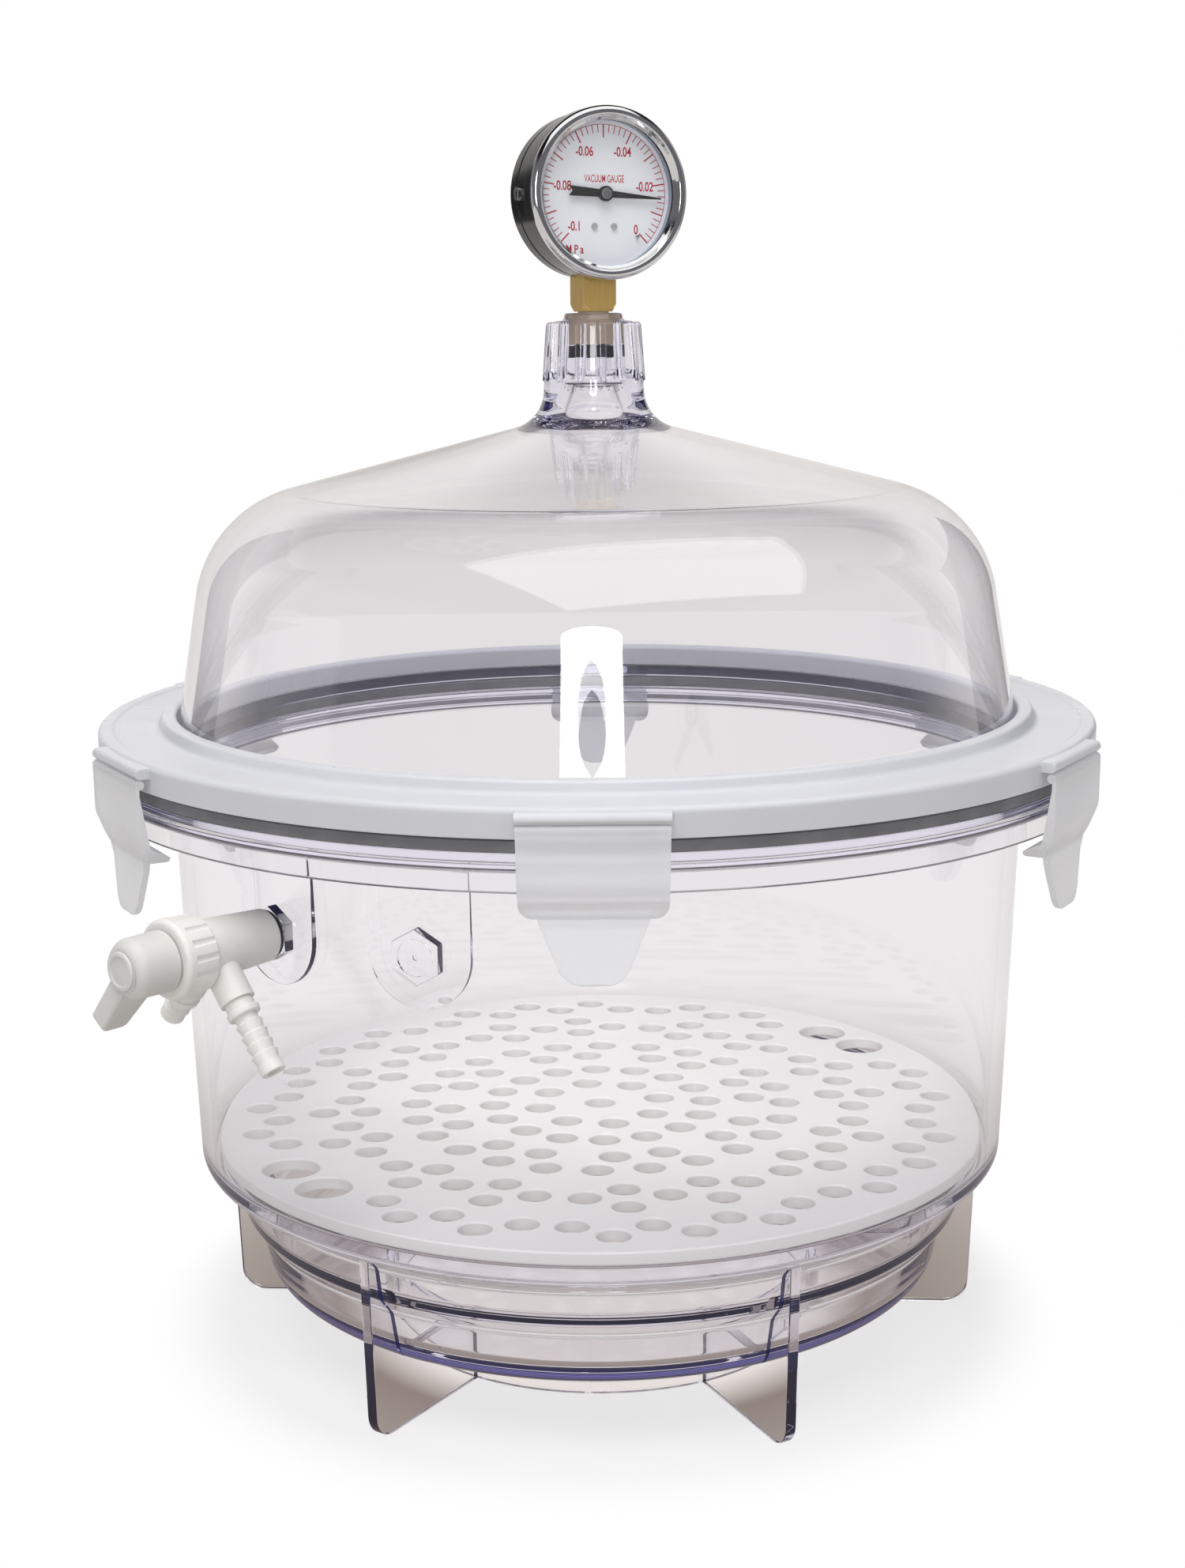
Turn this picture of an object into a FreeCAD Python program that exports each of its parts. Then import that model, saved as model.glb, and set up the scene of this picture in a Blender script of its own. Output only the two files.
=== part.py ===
"""Vacuum desiccator: a clear tub with a perforated plate, a clear domed lid held by a clamp ring
with six clips, a dial vacuum gauge on the lid's neck, and a three-way stopcock on the tub's wall.

Millimetres.  +Z is up, the origin is on the floor under the middle of the tub, and the front
is -Y.  Angles are counted from the front towards +X, so a thing at angle a and radius r is at
(r sin a, -r cos a).  Things that face outwards are built at the front and then turned.
"""
import FreeCAD, Part
import os
from math import radians, sin, cos, tan, pi, hypot

V = FreeCAD.Vector
UP = V(0, 0, 1)
ACROSS = V(1, 0, 0)
CENTRE = V(0, 0, 0)

# ---- driving dimensions -------------------------------------------------------------------
RING_R = 180.0             # outside of the clamp ring
WALL = 4.5                 # tub wall
DOME_WALL = 4.0            # lid wall

# heights
FLOOR_UNDER_Z = 23.0       # underside of the desiccant well
SHELF_Z = 74.5             # ledge that the plate rests on
FLANGE_LOW_Z = 205.0       # lower edge of the tub's rim
FLANGE_TOP_Z = 217.0
GASKET = 4.0               # gasket thickness
SEAL_Z = FLANGE_TOP_Z + GASKET
LID_FLANGE = 5.0
RING_LOW_Z = 221.6         # lower edge of the clamp ring's skirt
RING_TOP_Z = 230.5

# tub
WELL_R = 126.0             # outside of the well near its floor
SHELF_R = 150.0            # outside of the tub at the ledge
RIM_R = 155.0              # outside of the tub wall under the rim
FLANGE_R = 178.8
TUB_TURN = -3.1            # the tub is turned this much against the lid
FOOT_RING_R = 84.0
FOOT_RING_WALL = 3.0
FIN_THICK = 4.0
FIN_OUT_TOP = 143.0
FIN_OUT_LOW = 140.4
FIN_TOP_Z = 69.5
FIN_CORNER = 9.0
FIN_COUNT = 6

# wall bosses
PORT_Z = 177.5
PORT_ANGLE = -41.9
BLANK_ANGLE = -20.7
BOSS_PAD_R = 17.5
BOSS_PAD_FACE = 154.6
BOSS_FLATS = 16.0          # across the flats of the hexagonal bosses

# plate
PLATE_R = 143.3
PLATE_THICK = 4.8
PLATE_HOLE_R = 5.65
PLATE_TURN = 14.6
FINGER_R = 9.65
FINGER_RADIUS = 127.1
FINGER_SPREAD = 5.1

# lid
DOME_R = 150.9             # outside of the dome where it leaves the clamp ring
DOME_FOOT_Z = 236.0
DOME_LEAN = 0.175          # radius lost for each millimetre of height
ROOF_R = 96.4
ROOF_Z = 316.0
ROOF_FALL = 0.2545         # height lost for each millimetre of radius
DOME_CORNER = 45.0
LID_FLANGE_R = 177.0
NECK_TOP_Z = 370.8
NECK_R = 15.4
NECK_ROOT_R = 18.5
NECK_HOLLOW_R = 10.8       # hollow under the neck, at the roof
NECK_HOLLOW_Z = 349.0
STEM_BORE_R = 6.6          # bore that takes the gauge's stem
STEM_BORE_Z = 357.8
RIB_COUNT = 14
RIB_R = 2.0
RIB_LOW_Z = 349.5
RIB_FOOT_R = 16.5
RIB_LEAN = 4.2             # degrees that the ribs lean inwards
NECK_CUT_R = 30.5          # where the foot of the neck meets the rest of the roof
NECK_ROOT_FILLET = 14.0

# clips
CLIP_COUNT = 6
CLIP_HALF = 22.7
HINGE_R = 182.0
HINGE_Z = 225.0
BARREL_R = 1.5
CLIP_FACE_R = 183.5
CLIP_LOW_Z = 197.7
HOOK_R = 172.5             # tip of the hook under the rim
TAB_LOW_Z = 177.8

# gauge, with distances from the neck's axis towards the viewer
GAUGE_Z = 414.0
GAUGE_ANGLE = 23.6
CASE_R = 28.6
CASE_BACK = -8.0
SIDE_SCREWS = (60, 180, 300)
BEZEL_R = 29.4
BEZEL_FRONT = 17.0
DIAL_FACE = 9.6
SIGHT_R = 24.4
POINTER_ANGLE = 94.0       # clockwise from the top of the dial
SOCKET_FLATS = 12.5
BLOCK_LOW = 374.0          # brass block, heights
BLOCK_TOP = 389.8
STEM_LOW_Z = 362.0
THREAD_PITCH = 1.3
WINDOW_BACK = 12.8
DIAL_SCREW_X = 3.7
DIAL_SCREW_Y = -11.0
TUBE_R = 17.0              # middle of the bourdon tube
FRAME_BACK = -5.6
FRAME_FRONT = 5.4
GEAR_CENTRES = 11.0
PINION_R = 1.0
ARBOR_R = 0.8
SECTOR_PIN_R = 0.7
POINTER_FRONT = 12.1

# stopcock, with distances from the tub's axis outwards
TAP_START = 158.2
TAP_CORE_R = 4.6
BARB_AT = 181.3
BARB_TILT = 40.0
SOCKET_END = 19.5          # length of the barb sockets, from the barrel's axis
SPIGOT_R = 4.5             # glued end of a hose barb
VALLEY_R = 3.7              # between the barbs, a little under the plain end
TIP_LAND = 3.0             # plain end of a hose barb
TIP_R = 4.0
NUT_BACK = 187.3
NUT_FRONT = 199.5
PLUG_RING_AT = (171.0, 190.8)
HUB_BACK = 199.9
HUB_FRONT = 215.4
LEVER_REACH = 25.5
LEVER_WIDTH = 7.0
LEVER_TILT = 37.0
FIT_GAP = 0.05             # radial clearance of a running fit


# ---- helpers ------------------------------------------------------------------------------
def corner(before, here, after, radius):
    """First, middle and last point of the arc that rounds one corner."""
    if radius == 0:
        return here, None, here
    back = (before - here).normalize()
    on = (after - here).normalize()
    half = back.getAngle(on) / 2
    reach = radius / tan(half)
    bisector = (back + on).normalize()
    return here + back * reach, here + bisector * (radius / sin(half) - radius), here + on * reach


def face(points):
    """Flat face in the XZ plane with corners (x, z) or (x, z, rounding radius)."""
    spots = [V(p[0], 0, p[1]) for p in points]
    count = len(points)
    arcs = []
    for i, point in enumerate(points):
        radius = point[2] if len(point) > 2 else 0
        arcs.append(corner(spots[i - 1], spots[i], spots[(i + 1) % count], radius))
    edges = []
    for i, (first, middle, last) in enumerate(arcs):
        if middle:
            edges.append(Part.Arc(first, middle, last).toShape())
        following = arcs[(i + 1) % count][0]
        if last.distanceToPoint(following) > 1e-6:
            edges.append(Part.LineSegment(last, following).toShape())
    return Part.Face(Part.Wire(edges))


def turned(points):
    """Solid of revolution about Z of an outline (radius, z)."""
    return face(points).revolve(CENTRE, UP, 360)


def slab(points, width, shift=0.0):
    """Front-facing slab: an outline (radius, z) spread by width across the front."""
    solid = face(points).extrude(V(0, width, 0))
    solid.translate(V(0, shift - width / 2, 0))
    solid.rotate(CENTRE, UP, -90)
    return solid


def plank(points, near, far):
    """An outline (x, z) seen from the front, running from radius near to radius far."""
    solid = face(points).extrude(V(0, -(far - near), 0))
    solid.translate(V(0, -near, 0))
    return solid


def rod(radius, start, direction, length):
    return Part.makeCylinder(radius, length, start, direction)


def at_angle(shape, angle):
    moved = shape.copy()
    moved.rotate(CENTRE, UP, angle)
    return moved


def facing(shape, angle, height):
    """Turn a shape built along +Z, with +Y up, so that it faces outwards at an angle."""
    moved = shape.copy()
    moved.rotate(CENTRE, ACROSS, 90)
    moved.translate(V(0, 0, height))
    moved.rotate(CENTRE, UP, angle)
    return moved


def polygon_rod(flats, sides, start, length, turn=0.0):
    """Prism along +Z with the given distance across its flats."""
    radius = flats / 2 / cos(pi / sides)
    corners = []
    for i in range(sides + 1):
        a = radians(turn) + 2 * pi * i / sides
        corners.append(V(radius * cos(a), radius * sin(a), start))
    return Part.Face(Part.makePolygon(corners)).extrude(V(0, 0, length))


def ring(inner, outer, low, high):
    return turned([(inner, low), (outer, low), (outer, high), (inner, high)])


def joined(shapes):
    solid = shapes[0]
    if len(shapes) > 1:
        solid = solid.fuse(shapes[1:])
    return solid.removeSplitter()


def save(name, shapes):
    """Write one sub-part, which is one solid or a group of separate solids."""
    if not isinstance(shapes, list):
        shapes = [shapes]
    solids = []
    for shape in shapes:
        solids.extend(shape.Solids)
    result = solids[0] if len(solids) == 1 else Part.makeCompound(solids)
    result.exportStep("parts/" + name + ".step")
    low, high = result.BoundBox, result.Volume
    print("%-22s solids %2d valid %s volume %.0f z %.1f..%.1f"
          % (name, len(solids), result.isValid(), high, low.ZMin, low.ZMax))


# ---- tub ----------------------------------------------------------------------------------
def tub_wall_radius(z):
    """Outside radius of the tub's drafted wall."""
    return SHELF_R + (RIM_R - SHELF_R) * (z - 72) / (FLANGE_LOW_Z - 72)


def tub_outside():
    """Outline of the tub's outside, from the middle of its floor to the top of its rim."""
    return [
        (0, FLOOR_UNDER_Z),
        (WELL_R, FLOOR_UNDER_Z, 9),
        (WELL_R + 4.2, 43, 5),
        (WELL_R + 9.6, 49.5, 4),
        (WELL_R + 11.4, 61.5, 5),
        (WELL_R + 17, 67.5, 4),
        (SHELF_R, 68.0, 5),
        (RIM_R, FLANGE_LOW_Z + 4.5, 1.5),
        (FLANGE_R - 3.2, FLANGE_LOW_Z + 7.2, 1.5),
        (FLANGE_R - 2.4, FLANGE_LOW_Z),
        (FLANGE_R, FLANGE_LOW_Z),
        (FLANGE_R, FLANGE_TOP_Z - 3.2),
        (FLANGE_R - 1.2, FLANGE_TOP_Z - 2.6),
        (FLANGE_R - 1.2, FLANGE_TOP_Z),
    ]


def tub_skin():
    """The tub as one turned wall: well, ledge, drafted side and the hollow rim."""
    inside = [
        (RIM_R - WALL, FLANGE_TOP_Z, 1.5),
        (RIM_R - WALL - 0.4, FLANGE_LOW_Z),
        (SHELF_R - WALL + 0.3, SHELF_Z, 1.5),
        (WELL_R + 7.5, SHELF_Z, 1.5),
        (WELL_R + 6.8, 64, 2),
        (WELL_R + 5.2, 53, 3),
        (WELL_R - 0.2, 46, 4),
        (WELL_R - WALL, FLOOR_UNDER_Z + WALL + 1.5, 6),
        (0, FLOOR_UNDER_Z + WALL),
    ]
    return turned(tub_outside() + inside)


def boss_pad(angle):
    """Flat upright pad on the wall that runs up into the rim, with a hexagonal boss on it."""
    top = FLANGE_LOW_Z + 2
    pad = plank([
        (-BOSS_PAD_R, top),
        (-BOSS_PAD_R, PORT_Z - BOSS_PAD_R, BOSS_PAD_R - 0.01),
        (BOSS_PAD_R, PORT_Z - BOSS_PAD_R, BOSS_PAD_R - 0.01),
        (BOSS_PAD_R, top),
    ], tub_wall_radius(PORT_Z) - 3.2, BOSS_PAD_FACE)
    hexagon = polygon_rod(BOSS_FLATS, 6, BOSS_PAD_FACE - 1, 4.4, 90)
    return at_angle(pad, angle), facing(hexagon, angle, PORT_Z)


def tub():
    solid = tub_skin()
    for angle in (PORT_ANGLE, BLANK_ANGLE):
        solid = solid.fuse(list(boss_pad(angle)))
    drilled = rod(5.2, V(0, 0, 140), UP, 30)
    blank = rod(6.0, V(0, 0, BOSS_PAD_FACE + 2.6), UP, 5)
    dimple = rod(1.0, V(0, 0, BOSS_PAD_FACE + 2.1), UP, 5)
    solid = solid.cut([
        facing(drilled, PORT_ANGLE, PORT_Z),
        facing(blank, BLANK_ANGLE, PORT_Z),
        facing(dimple, BLANK_ANGLE, PORT_Z),
    ])
    return solid.removeSplitter()


def tub_fins():
    """Six upright fins between the foot ring and the underside of the ledge."""
    blank = slab([
        (FOOT_RING_R - 0.5, 0),
        (FIN_OUT_LOW, 0, FIN_CORNER),
        (FIN_OUT_TOP, FIN_TOP_Z, 1.0),
        (FOOT_RING_R - 0.5, FIN_TOP_Z),
    ], FIN_THICK)
    filled_tub = turned(tub_outside() + [(0, FLANGE_TOP_Z)])
    ring_core = Part.makeCylinder(FOOT_RING_R, FLOOR_UNDER_Z)
    fin = blank.cut([filled_tub, ring_core])
    return [at_angle(fin, TUB_TURN + 30 + 360 / FIN_COUNT * i) for i in range(FIN_COUNT)]


def foot_ring():
    """Ring under the well, with small upright ribs between the fins."""
    wall = ring(FOOT_RING_R - FOOT_RING_WALL, FOOT_RING_R, 0, FLOOR_UNDER_Z)
    rib = slab([
        (FOOT_RING_R - 1, 0.8),
        (FOOT_RING_R + 1.2, 0.8, 0.5),
        (FOOT_RING_R + 1.2, FLOOR_UNDER_Z),
        (FOOT_RING_R - 1, FLOOR_UNDER_Z),
    ], 2.2)
    ribs = [at_angle(rib, TUB_TURN + 60 * i) for i in range(6)]
    return joined([wall] + ribs)


def lid_gasket():
    low = FLANGE_TOP_Z
    return turned([(151, low), (FLANGE_R - 0.8, low), (FLANGE_R - 0.8, SEAL_Z, 0.6), (151, SEAL_Z, 0.6)])


# ---- plate --------------------------------------------------------------------------------
def hole_rings():
    """Angles and radii of the drain holes: the same pattern in each eighth of the plate."""
    spots = [(0.0, 0.0)]
    rows = [
        (23.3, [-1.6]),
        (40.3, [-11.9, 10.6]),
        (57.5, [-9.1, 9.1]),
        (70.4, [-15, 0, 15]),
        (88.9, [-9.1, 9.1]),
        (96.5, [-17.4, 0, 17.4]),
        (104.8, [-9.1, 9.1]),
        (121.5, [-18.6, -6.1, 6.1, 18.6]),
        (129.4, [-12.4, 0, 12.4]),
    ]
    for radius, offsets in rows:
        for eighth in range(8):
            for offset in offsets:
                spots.append((PLATE_TURN + 45 * eighth + offset, radius))
    return spots


def finger_spots():
    """Two pairs of larger holes, on opposite sides, for lifting the plate out."""
    middle = PLATE_TURN + 45 * 6.5 + 0.3
    return [(middle + half_turn + side, FINGER_RADIUS)
            for half_turn in (0, 180) for side in (-FINGER_SPREAD, FINGER_SPREAD)]


def spot(angle, radius, z):
    return V(radius * sin(radians(angle)), -radius * cos(radians(angle)), z)


def perforated_plate():
    top = SHELF_Z + PLATE_THICK
    disc = turned([(0, SHELF_Z), (PLATE_R, SHELF_Z, 0.8), (PLATE_R, top, 1.6), (0, top)])
    fingers = [spot(a, r, SHELF_Z) for a, r in finger_spots()]
    room = FINGER_R + PLATE_HOLE_R + 1
    cutters = [rod(FINGER_R, p, UP, PLATE_THICK) for p in fingers]
    for angle, radius in hole_rings():
        centre = spot(angle, radius, SHELF_Z)
        if min(centre.distanceToPoint(p) for p in fingers) > room:
            cutters.append(rod(PLATE_HOLE_R, centre, UP, PLATE_THICK))
    return disc.cut(cutters)


# ---- lid ----------------------------------------------------------------------------------
def roof_z(radius):
    return ROOF_Z + ROOF_FALL * (ROOF_R - radius)


def dome_radius(z):
    return DOME_R - DOME_LEAN * (z - DOME_FOOT_Z)


def dome_corner():
    """Where the straight side and the straight roof would meet."""
    z = (ROOF_Z + ROOF_FALL * (ROOF_R - DOME_R - DOME_LEAN * DOME_FOOT_Z)) / (1 - ROOF_FALL * DOME_LEAN)
    return dome_radius(z), z


def dome_cover():
    """Flange, side and roof of the lid, the foot of its neck, and the fluted neck with the threaded bore."""
    edge_r, edge_z = dome_corner()
    slope = hypot(1, ROOF_FALL)
    inner_r = edge_r - DOME_WALL
    inner_z = roof_z(inner_r) - DOME_WALL * slope
    flange_top = SEAL_Z + LID_FLANGE
    under_neck = roof_z(NECK_HOLLOW_R) - DOME_WALL * slope
    body = turned([
        (dome_radius(SEAL_Z) - DOME_WALL, SEAL_Z, 1),
        (LID_FLANGE_R, SEAL_Z),
        (LID_FLANGE_R, flange_top),
        (dome_radius(flange_top), flange_top, 1.2),
        (edge_r, edge_z, DOME_CORNER),
        (NECK_ROOT_R, roof_z(NECK_ROOT_R), NECK_ROOT_FILLET),
        (NECK_ROOT_R - 0.7, RIB_LOW_Z + 1),
        (NECK_R, RIB_LOW_Z + 4),
        (NECK_R - 0.4, NECK_TOP_Z, 2.0),
        (11.0, NECK_TOP_Z, 1.2),
        (10.2, NECK_TOP_Z + 2.7, 0.8),
        (STEM_BORE_R, NECK_TOP_Z + 2.7),
        (STEM_BORE_R, STEM_BORE_Z),
        (4.0, STEM_BORE_Z),
        (4.0, NECK_HOLLOW_Z),
        (7.0, NECK_HOLLOW_Z, 1.0),
        (NECK_HOLLOW_R, under_neck, 7),
        (inner_r, inner_z, DOME_CORNER - DOME_WALL),
    ])
    length = NECK_TOP_Z - 0.4 - RIB_LOW_Z
    rib = turned([(0, 0), (RIB_R, 0), (RIB_R, length, 1.4), (0, length)])
    rib.rotate(CENTRE, ACROSS, -RIB_LEAN)
    rib.translate(V(0, -RIB_FOOT_R, RIB_LOW_Z))
    ribs = [at_angle(rib, 360 / RIB_COUNT * (i + 0.5) - 3.4) for i in range(RIB_COUNT)]
    foot_zone = rod(NECK_CUT_R, V(0, 0, SEAL_Z), UP, NECK_HOLLOW_Z - SEAL_Z)
    flute_zone = rod(NECK_CUT_R, V(0, 0, NECK_HOLLOW_Z), UP, GAUGE_Z - NECK_HOLLOW_Z)
    return body.cut([foot_zone, flute_zone]), body.common(foot_zone), joined([body.common(flute_zone)] + ribs)


def clamp_ring():
    """Ring over the lid's flange, with a raised rim, a raised collar and a straight lug per clip."""
    under = SEAL_Z + LID_FLANGE
    hole = dome_radius(under)
    body = turned([
        (RING_R, RING_LOW_Z, 0.5),
        (RING_R, RING_TOP_Z + 0.9, 2.3),
        (RING_R - 4.8, RING_TOP_Z + 0.9, 1.4),
        (RING_R - 5.8, RING_TOP_Z, 1.2),
        (hole + 6.6, RING_TOP_Z, 2.5),
        (hole + 4.6, RING_TOP_Z + 4.6, 2),
        (hole - 0.6, RING_TOP_Z + 4.6, 1.6),
        (hole + 1.7, under),
        (LID_FLANGE_R + 0.3, under),
        (LID_FLANGE_R + 0.3, RING_LOW_Z, 0.5),
    ])
    lug = slab([
        (RING_R - 3, HINGE_Z + BARREL_R + 0.3),
        (HINGE_R + 0.4, HINGE_Z + BARREL_R + 0.3),
        (CLIP_FACE_R - 0.1, HINGE_Z + BARREL_R + 1.5),
        (CLIP_FACE_R - 0.1, RING_TOP_Z, 1.0),
        (RING_R - 3, RING_TOP_Z),
    ], 2 * CLIP_HALF + 0.8)
    lugs = [at_angle(lug, 60 * i) for i in range(CLIP_COUNT)]
    return joined([body] + lugs)


def clip():
    """Snap clip: barrel at the top, a plate that curves under the rim, a hook and a finger tab."""
    inner = CLIP_FACE_R - 1.3
    side = slab([
        (CLIP_FACE_R, HINGE_Z),
        (CLIP_FACE_R, 209, 9),
        (CLIP_FACE_R - 4.4, CLIP_LOW_Z, 1.2),
        (HOOK_R, CLIP_LOW_Z + 0.2, 0.8),
        (HOOK_R, 200.0, 0.8),
        (179.2, 203.3, 0.8),
        (inner, 221.0),
        (inner, HINGE_Z),
    ], 2 * CLIP_HALF)
    barrel = rod(BARREL_R, V(-CLIP_HALF, -HINGE_R, HINGE_Z), ACROSS, 2 * CLIP_HALF)
    front = plank([
        (-CLIP_HALF, HINGE_Z + BARREL_R),
        (-CLIP_HALF + 0.5, CLIP_LOW_Z, 5),
        (CLIP_HALF - 0.5, CLIP_LOW_Z, 5),
        (CLIP_HALF, HINGE_Z + BARREL_R),
    ], 170, 190)
    tab = slab([
        (CLIP_FACE_R - 2.6, 203, 0.5),
        (CLIP_FACE_R - 3.6, 195, 9),
        (CLIP_FACE_R - 2.2, TAB_LOW_Z, 0.9),
        (CLIP_FACE_R - 4.2, TAB_LOW_Z, 0.9),
        (CLIP_FACE_R - 5.8, 195, 9),
        (CLIP_FACE_R - 5.4, 203, 0.5),
    ], 2 * CLIP_HALF)
    tab_front = plank([
        (-17.0, 204),
        (-16.6, CLIP_LOW_Z, 6),
        (-8.6, TAB_LOW_Z, 8.5),
        (8.6, TAB_LOW_Z, 8.5),
        (16.6, CLIP_LOW_Z, 6),
        (17.0, 204),
    ], 170, 190)
    return joined([side.common(front), barrel, tab.common(tab_front)])


# ---- gauge --------------------------------------------------------------------------------
def on_gauge(shape):
    return facing(shape, GAUGE_ANGLE, GAUGE_Z)


def gauge_case():
    """Pressed cup with a shallow bead round its side and a notch for the socket."""
    wall = 1.2
    cup = turned([
        (0, CASE_BACK),
        (CASE_R, CASE_BACK, 2.5),
        (CASE_R, -0.6),
        (CASE_R - 0.5, 0),
        (CASE_R, 0.6),
        (CASE_R, 12.6),
        (CASE_R - wall, 12.6),
        (CASE_R - wall, CASE_BACK + wall, 1.5),
        (0, CASE_BACK + wall),
    ])
    notch = Part.makeBox(13.2, 12, 13.2, V(-6.6, -CASE_R - 3, -6.6))
    relief = rod(3.5, V(0, 9, CASE_BACK - 1), UP, 4)
    cutters = [notch, relief]
    for turn in SIDE_SCREWS:
        hole = rod(1.1, V(CASE_R - 5, 0, 3.5), ACROSS, 8)
        hole.rotate(CENTRE, UP, turn)
        cutters.append(hole)
    return cup.cut(cutters)


def blowout_plug():
    """Rubber plug in the back of the case."""
    return turned([
        (0, CASE_BACK - 0.8),
        (4.4, CASE_BACK - 0.8, 0.5),
        (4.4, CASE_BACK),
        (3.45, CASE_BACK),
        (3.45, CASE_BACK + 2.0, 0.4),
        (0, CASE_BACK + 2.0),
    ]).translated(V(0, 9, 0))


def gauge_bezel():
    """Rolled front ring with a sloping inner lip that holds the window."""
    lip = BEZEL_FRONT - 2.2
    return turned([
        (CASE_R + 0.05, 9.0),
        (BEZEL_R, 9.0, 0.3),
        (BEZEL_R, BEZEL_FRONT, 2.2),
        (BEZEL_R - 3.0, BEZEL_FRONT, 0.8),
        (SIGHT_R + 1.1, lip + 0.9, 0.5),
        (SIGHT_R, lip),
        (CASE_R - 0.4, lip),
        (CASE_R + 0.05, lip - 0.5),
    ])


def gauge_socket():
    """Square brass block with a threaded stem below it and the tube's seat above."""
    half = SOCKET_FLATS / 2
    block = Part.makeBox(SOCKET_FLATS, SOCKET_FLATS, BLOCK_TOP - BLOCK_LOW, V(-half, -half, BLOCK_LOW))
    chamfer = turned([(0, 373), (6.0, 373), (9.2, 377), (9.2, 391), (0, 391)])
    points = [(0, STEM_LOW_Z), (5.4, STEM_LOW_Z)]
    for i in range(8):
        z = STEM_LOW_Z + 0.4 + THREAD_PITCH * i
        points += [(5.5, z), (STEM_BORE_R - 0.15, z + THREAD_PITCH / 2)]
    points += [(5.5, 373.2), (5.5, BLOCK_LOW + 0.5), (0, BLOCK_LOW + 0.5)]
    seat = rod(3.0, V(0, 0, BLOCK_TOP - 1), UP, GAUGE_Z - TUBE_R + 1 - BLOCK_TOP)
    bore = rod(2.0, V(0, 0, STEM_LOW_Z - 1), UP, 30)
    solid = joined([block.common(chamfer), turned(points), seat]).cut(bore)
    return at_angle(solid, GAUGE_ANGLE)


def gauge_seal():
    """Rubber washer under the gauge's stem."""
    return ring(3.0, STEM_BORE_R - 0.1, STEM_BORE_Z, STEM_LOW_Z)


def gauge_window():
    return rod(26.9, V(0, 0, WINDOW_BACK), UP, BEZEL_FRONT - 2.3 - WINDOW_BACK)


def gauge_dial():
    disc = rod(CASE_R - 1.3, V(0, 0, DIAL_FACE - 0.6), UP, 0.6)
    holes = [rod(1.6, V(0, 0, DIAL_FACE - 2), UP, 4)]
    for x, y in dial_screw_spots() + [stop_pin_spot()]:
        holes.append(rod(0.45, V(x, y, DIAL_FACE - 2), UP, 4))
    return disc.cut(holes)


def dial_screw_spots():
    return [(-DIAL_SCREW_X, DIAL_SCREW_Y), (DIAL_SCREW_X, DIAL_SCREW_Y)]


def stop_pin_spot():
    a = radians(139)
    return 19.0 * sin(a), 19.0 * cos(a)


def dial_screws():
    """Two cheese-head screws that hold the dial to the movement."""
    screws = []
    for x, y in dial_screw_spots():
        head = rod(1.15, V(x, y, DIAL_FACE), UP, 0.6)
        shank = rod(0.45, V(x, y, FRAME_FRONT), UP, DIAL_FACE - FRAME_FRONT)
        slot = Part.makeBox(2.6, 0.35, 0.3, V(x - 1.3, y - 0.175, DIAL_FACE + 0.35))
        screws.append(on_gauge(head.fuse(shank).cut(slot)))
    return screws


def pointer_stop():
    """Pin on the dial that the pointer rests against below zero."""
    x, y = stop_pin_spot()
    pin = rod(0.45, V(x, y, DIAL_FACE - 0.6), UP, 2.2)
    foot = rod(1.0, V(x, y, DIAL_FACE - 1.0), UP, 0.4)
    return pin.fuse(foot).removeSplitter()


def case_screws():
    """Three screws through the side of the case."""
    screws = []
    for turn in SIDE_SCREWS:
        shank = rod(1.1, V(CASE_R - 3.2, 0, 3.5), ACROSS, 3.4)
        head = rod(2.4, V(CASE_R + 0.02, 0, 3.5), ACROSS, 1.5)
        slot = Part.makeBox(1, 5, 0.6, V(CASE_R + 0.9, -2.5, 3.2))
        screw = head.fuse(shank).cut(slot)
        screw.rotate(CENTRE, UP, turn)
        screws.append(on_gauge(screw))
    return screws


def bourdon_tube():
    """Bent tube from the socket's seat round to a closed tip."""
    tube = Part.makeTorus(TUBE_R, 1.8, CENTRE, UP, -180, 180, 245)
    tube.rotate(CENTRE, UP, -84)
    return tube.cut(rod(3.0, V(0, -TUBE_R - 8, 0), V(0, 1, 0), 8))


def plate_with(holes, low, high):
    """Movement plate with pivot holes (x, y, radius)."""
    corners = [(-7, -13.4, 3), (7, -13.4, 3), (7, 5, 2.5), (-7, 5, 2.5)]
    flat = face(corners).extrude(V(0, low - high, 0))
    flat.rotate(CENTRE, ACROSS, -90)
    flat.translate(V(0, 0, low))
    return flat.cut([rod(r, V(x, y, low - 1), UP, high - low + 2) for x, y, r in holes])


def movement_frame():
    """Two plates on pillars that carry the pointer's arbor and the sector."""
    pivots = [(0, 0, ARBOR_R + FIT_GAP), (0, -GEAR_CENTRES, SECTOR_PIN_R + FIT_GAP)]
    back = plate_with(pivots, FRAME_BACK, FRAME_BACK + 1.2)
    front = plate_with(pivots, FRAME_FRONT - 1.2, FRAME_FRONT)
    pillars = []
    for x, y in ((-5.4, -11.6), (5.4, -11.6), (5.2, 3.0)):
        pillars.append(rod(0.9, V(x, y, CASE_BACK + 1.2), UP, FRAME_FRONT - CASE_BACK - 1.7))
    return joined([back, front] + pillars)


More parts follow.
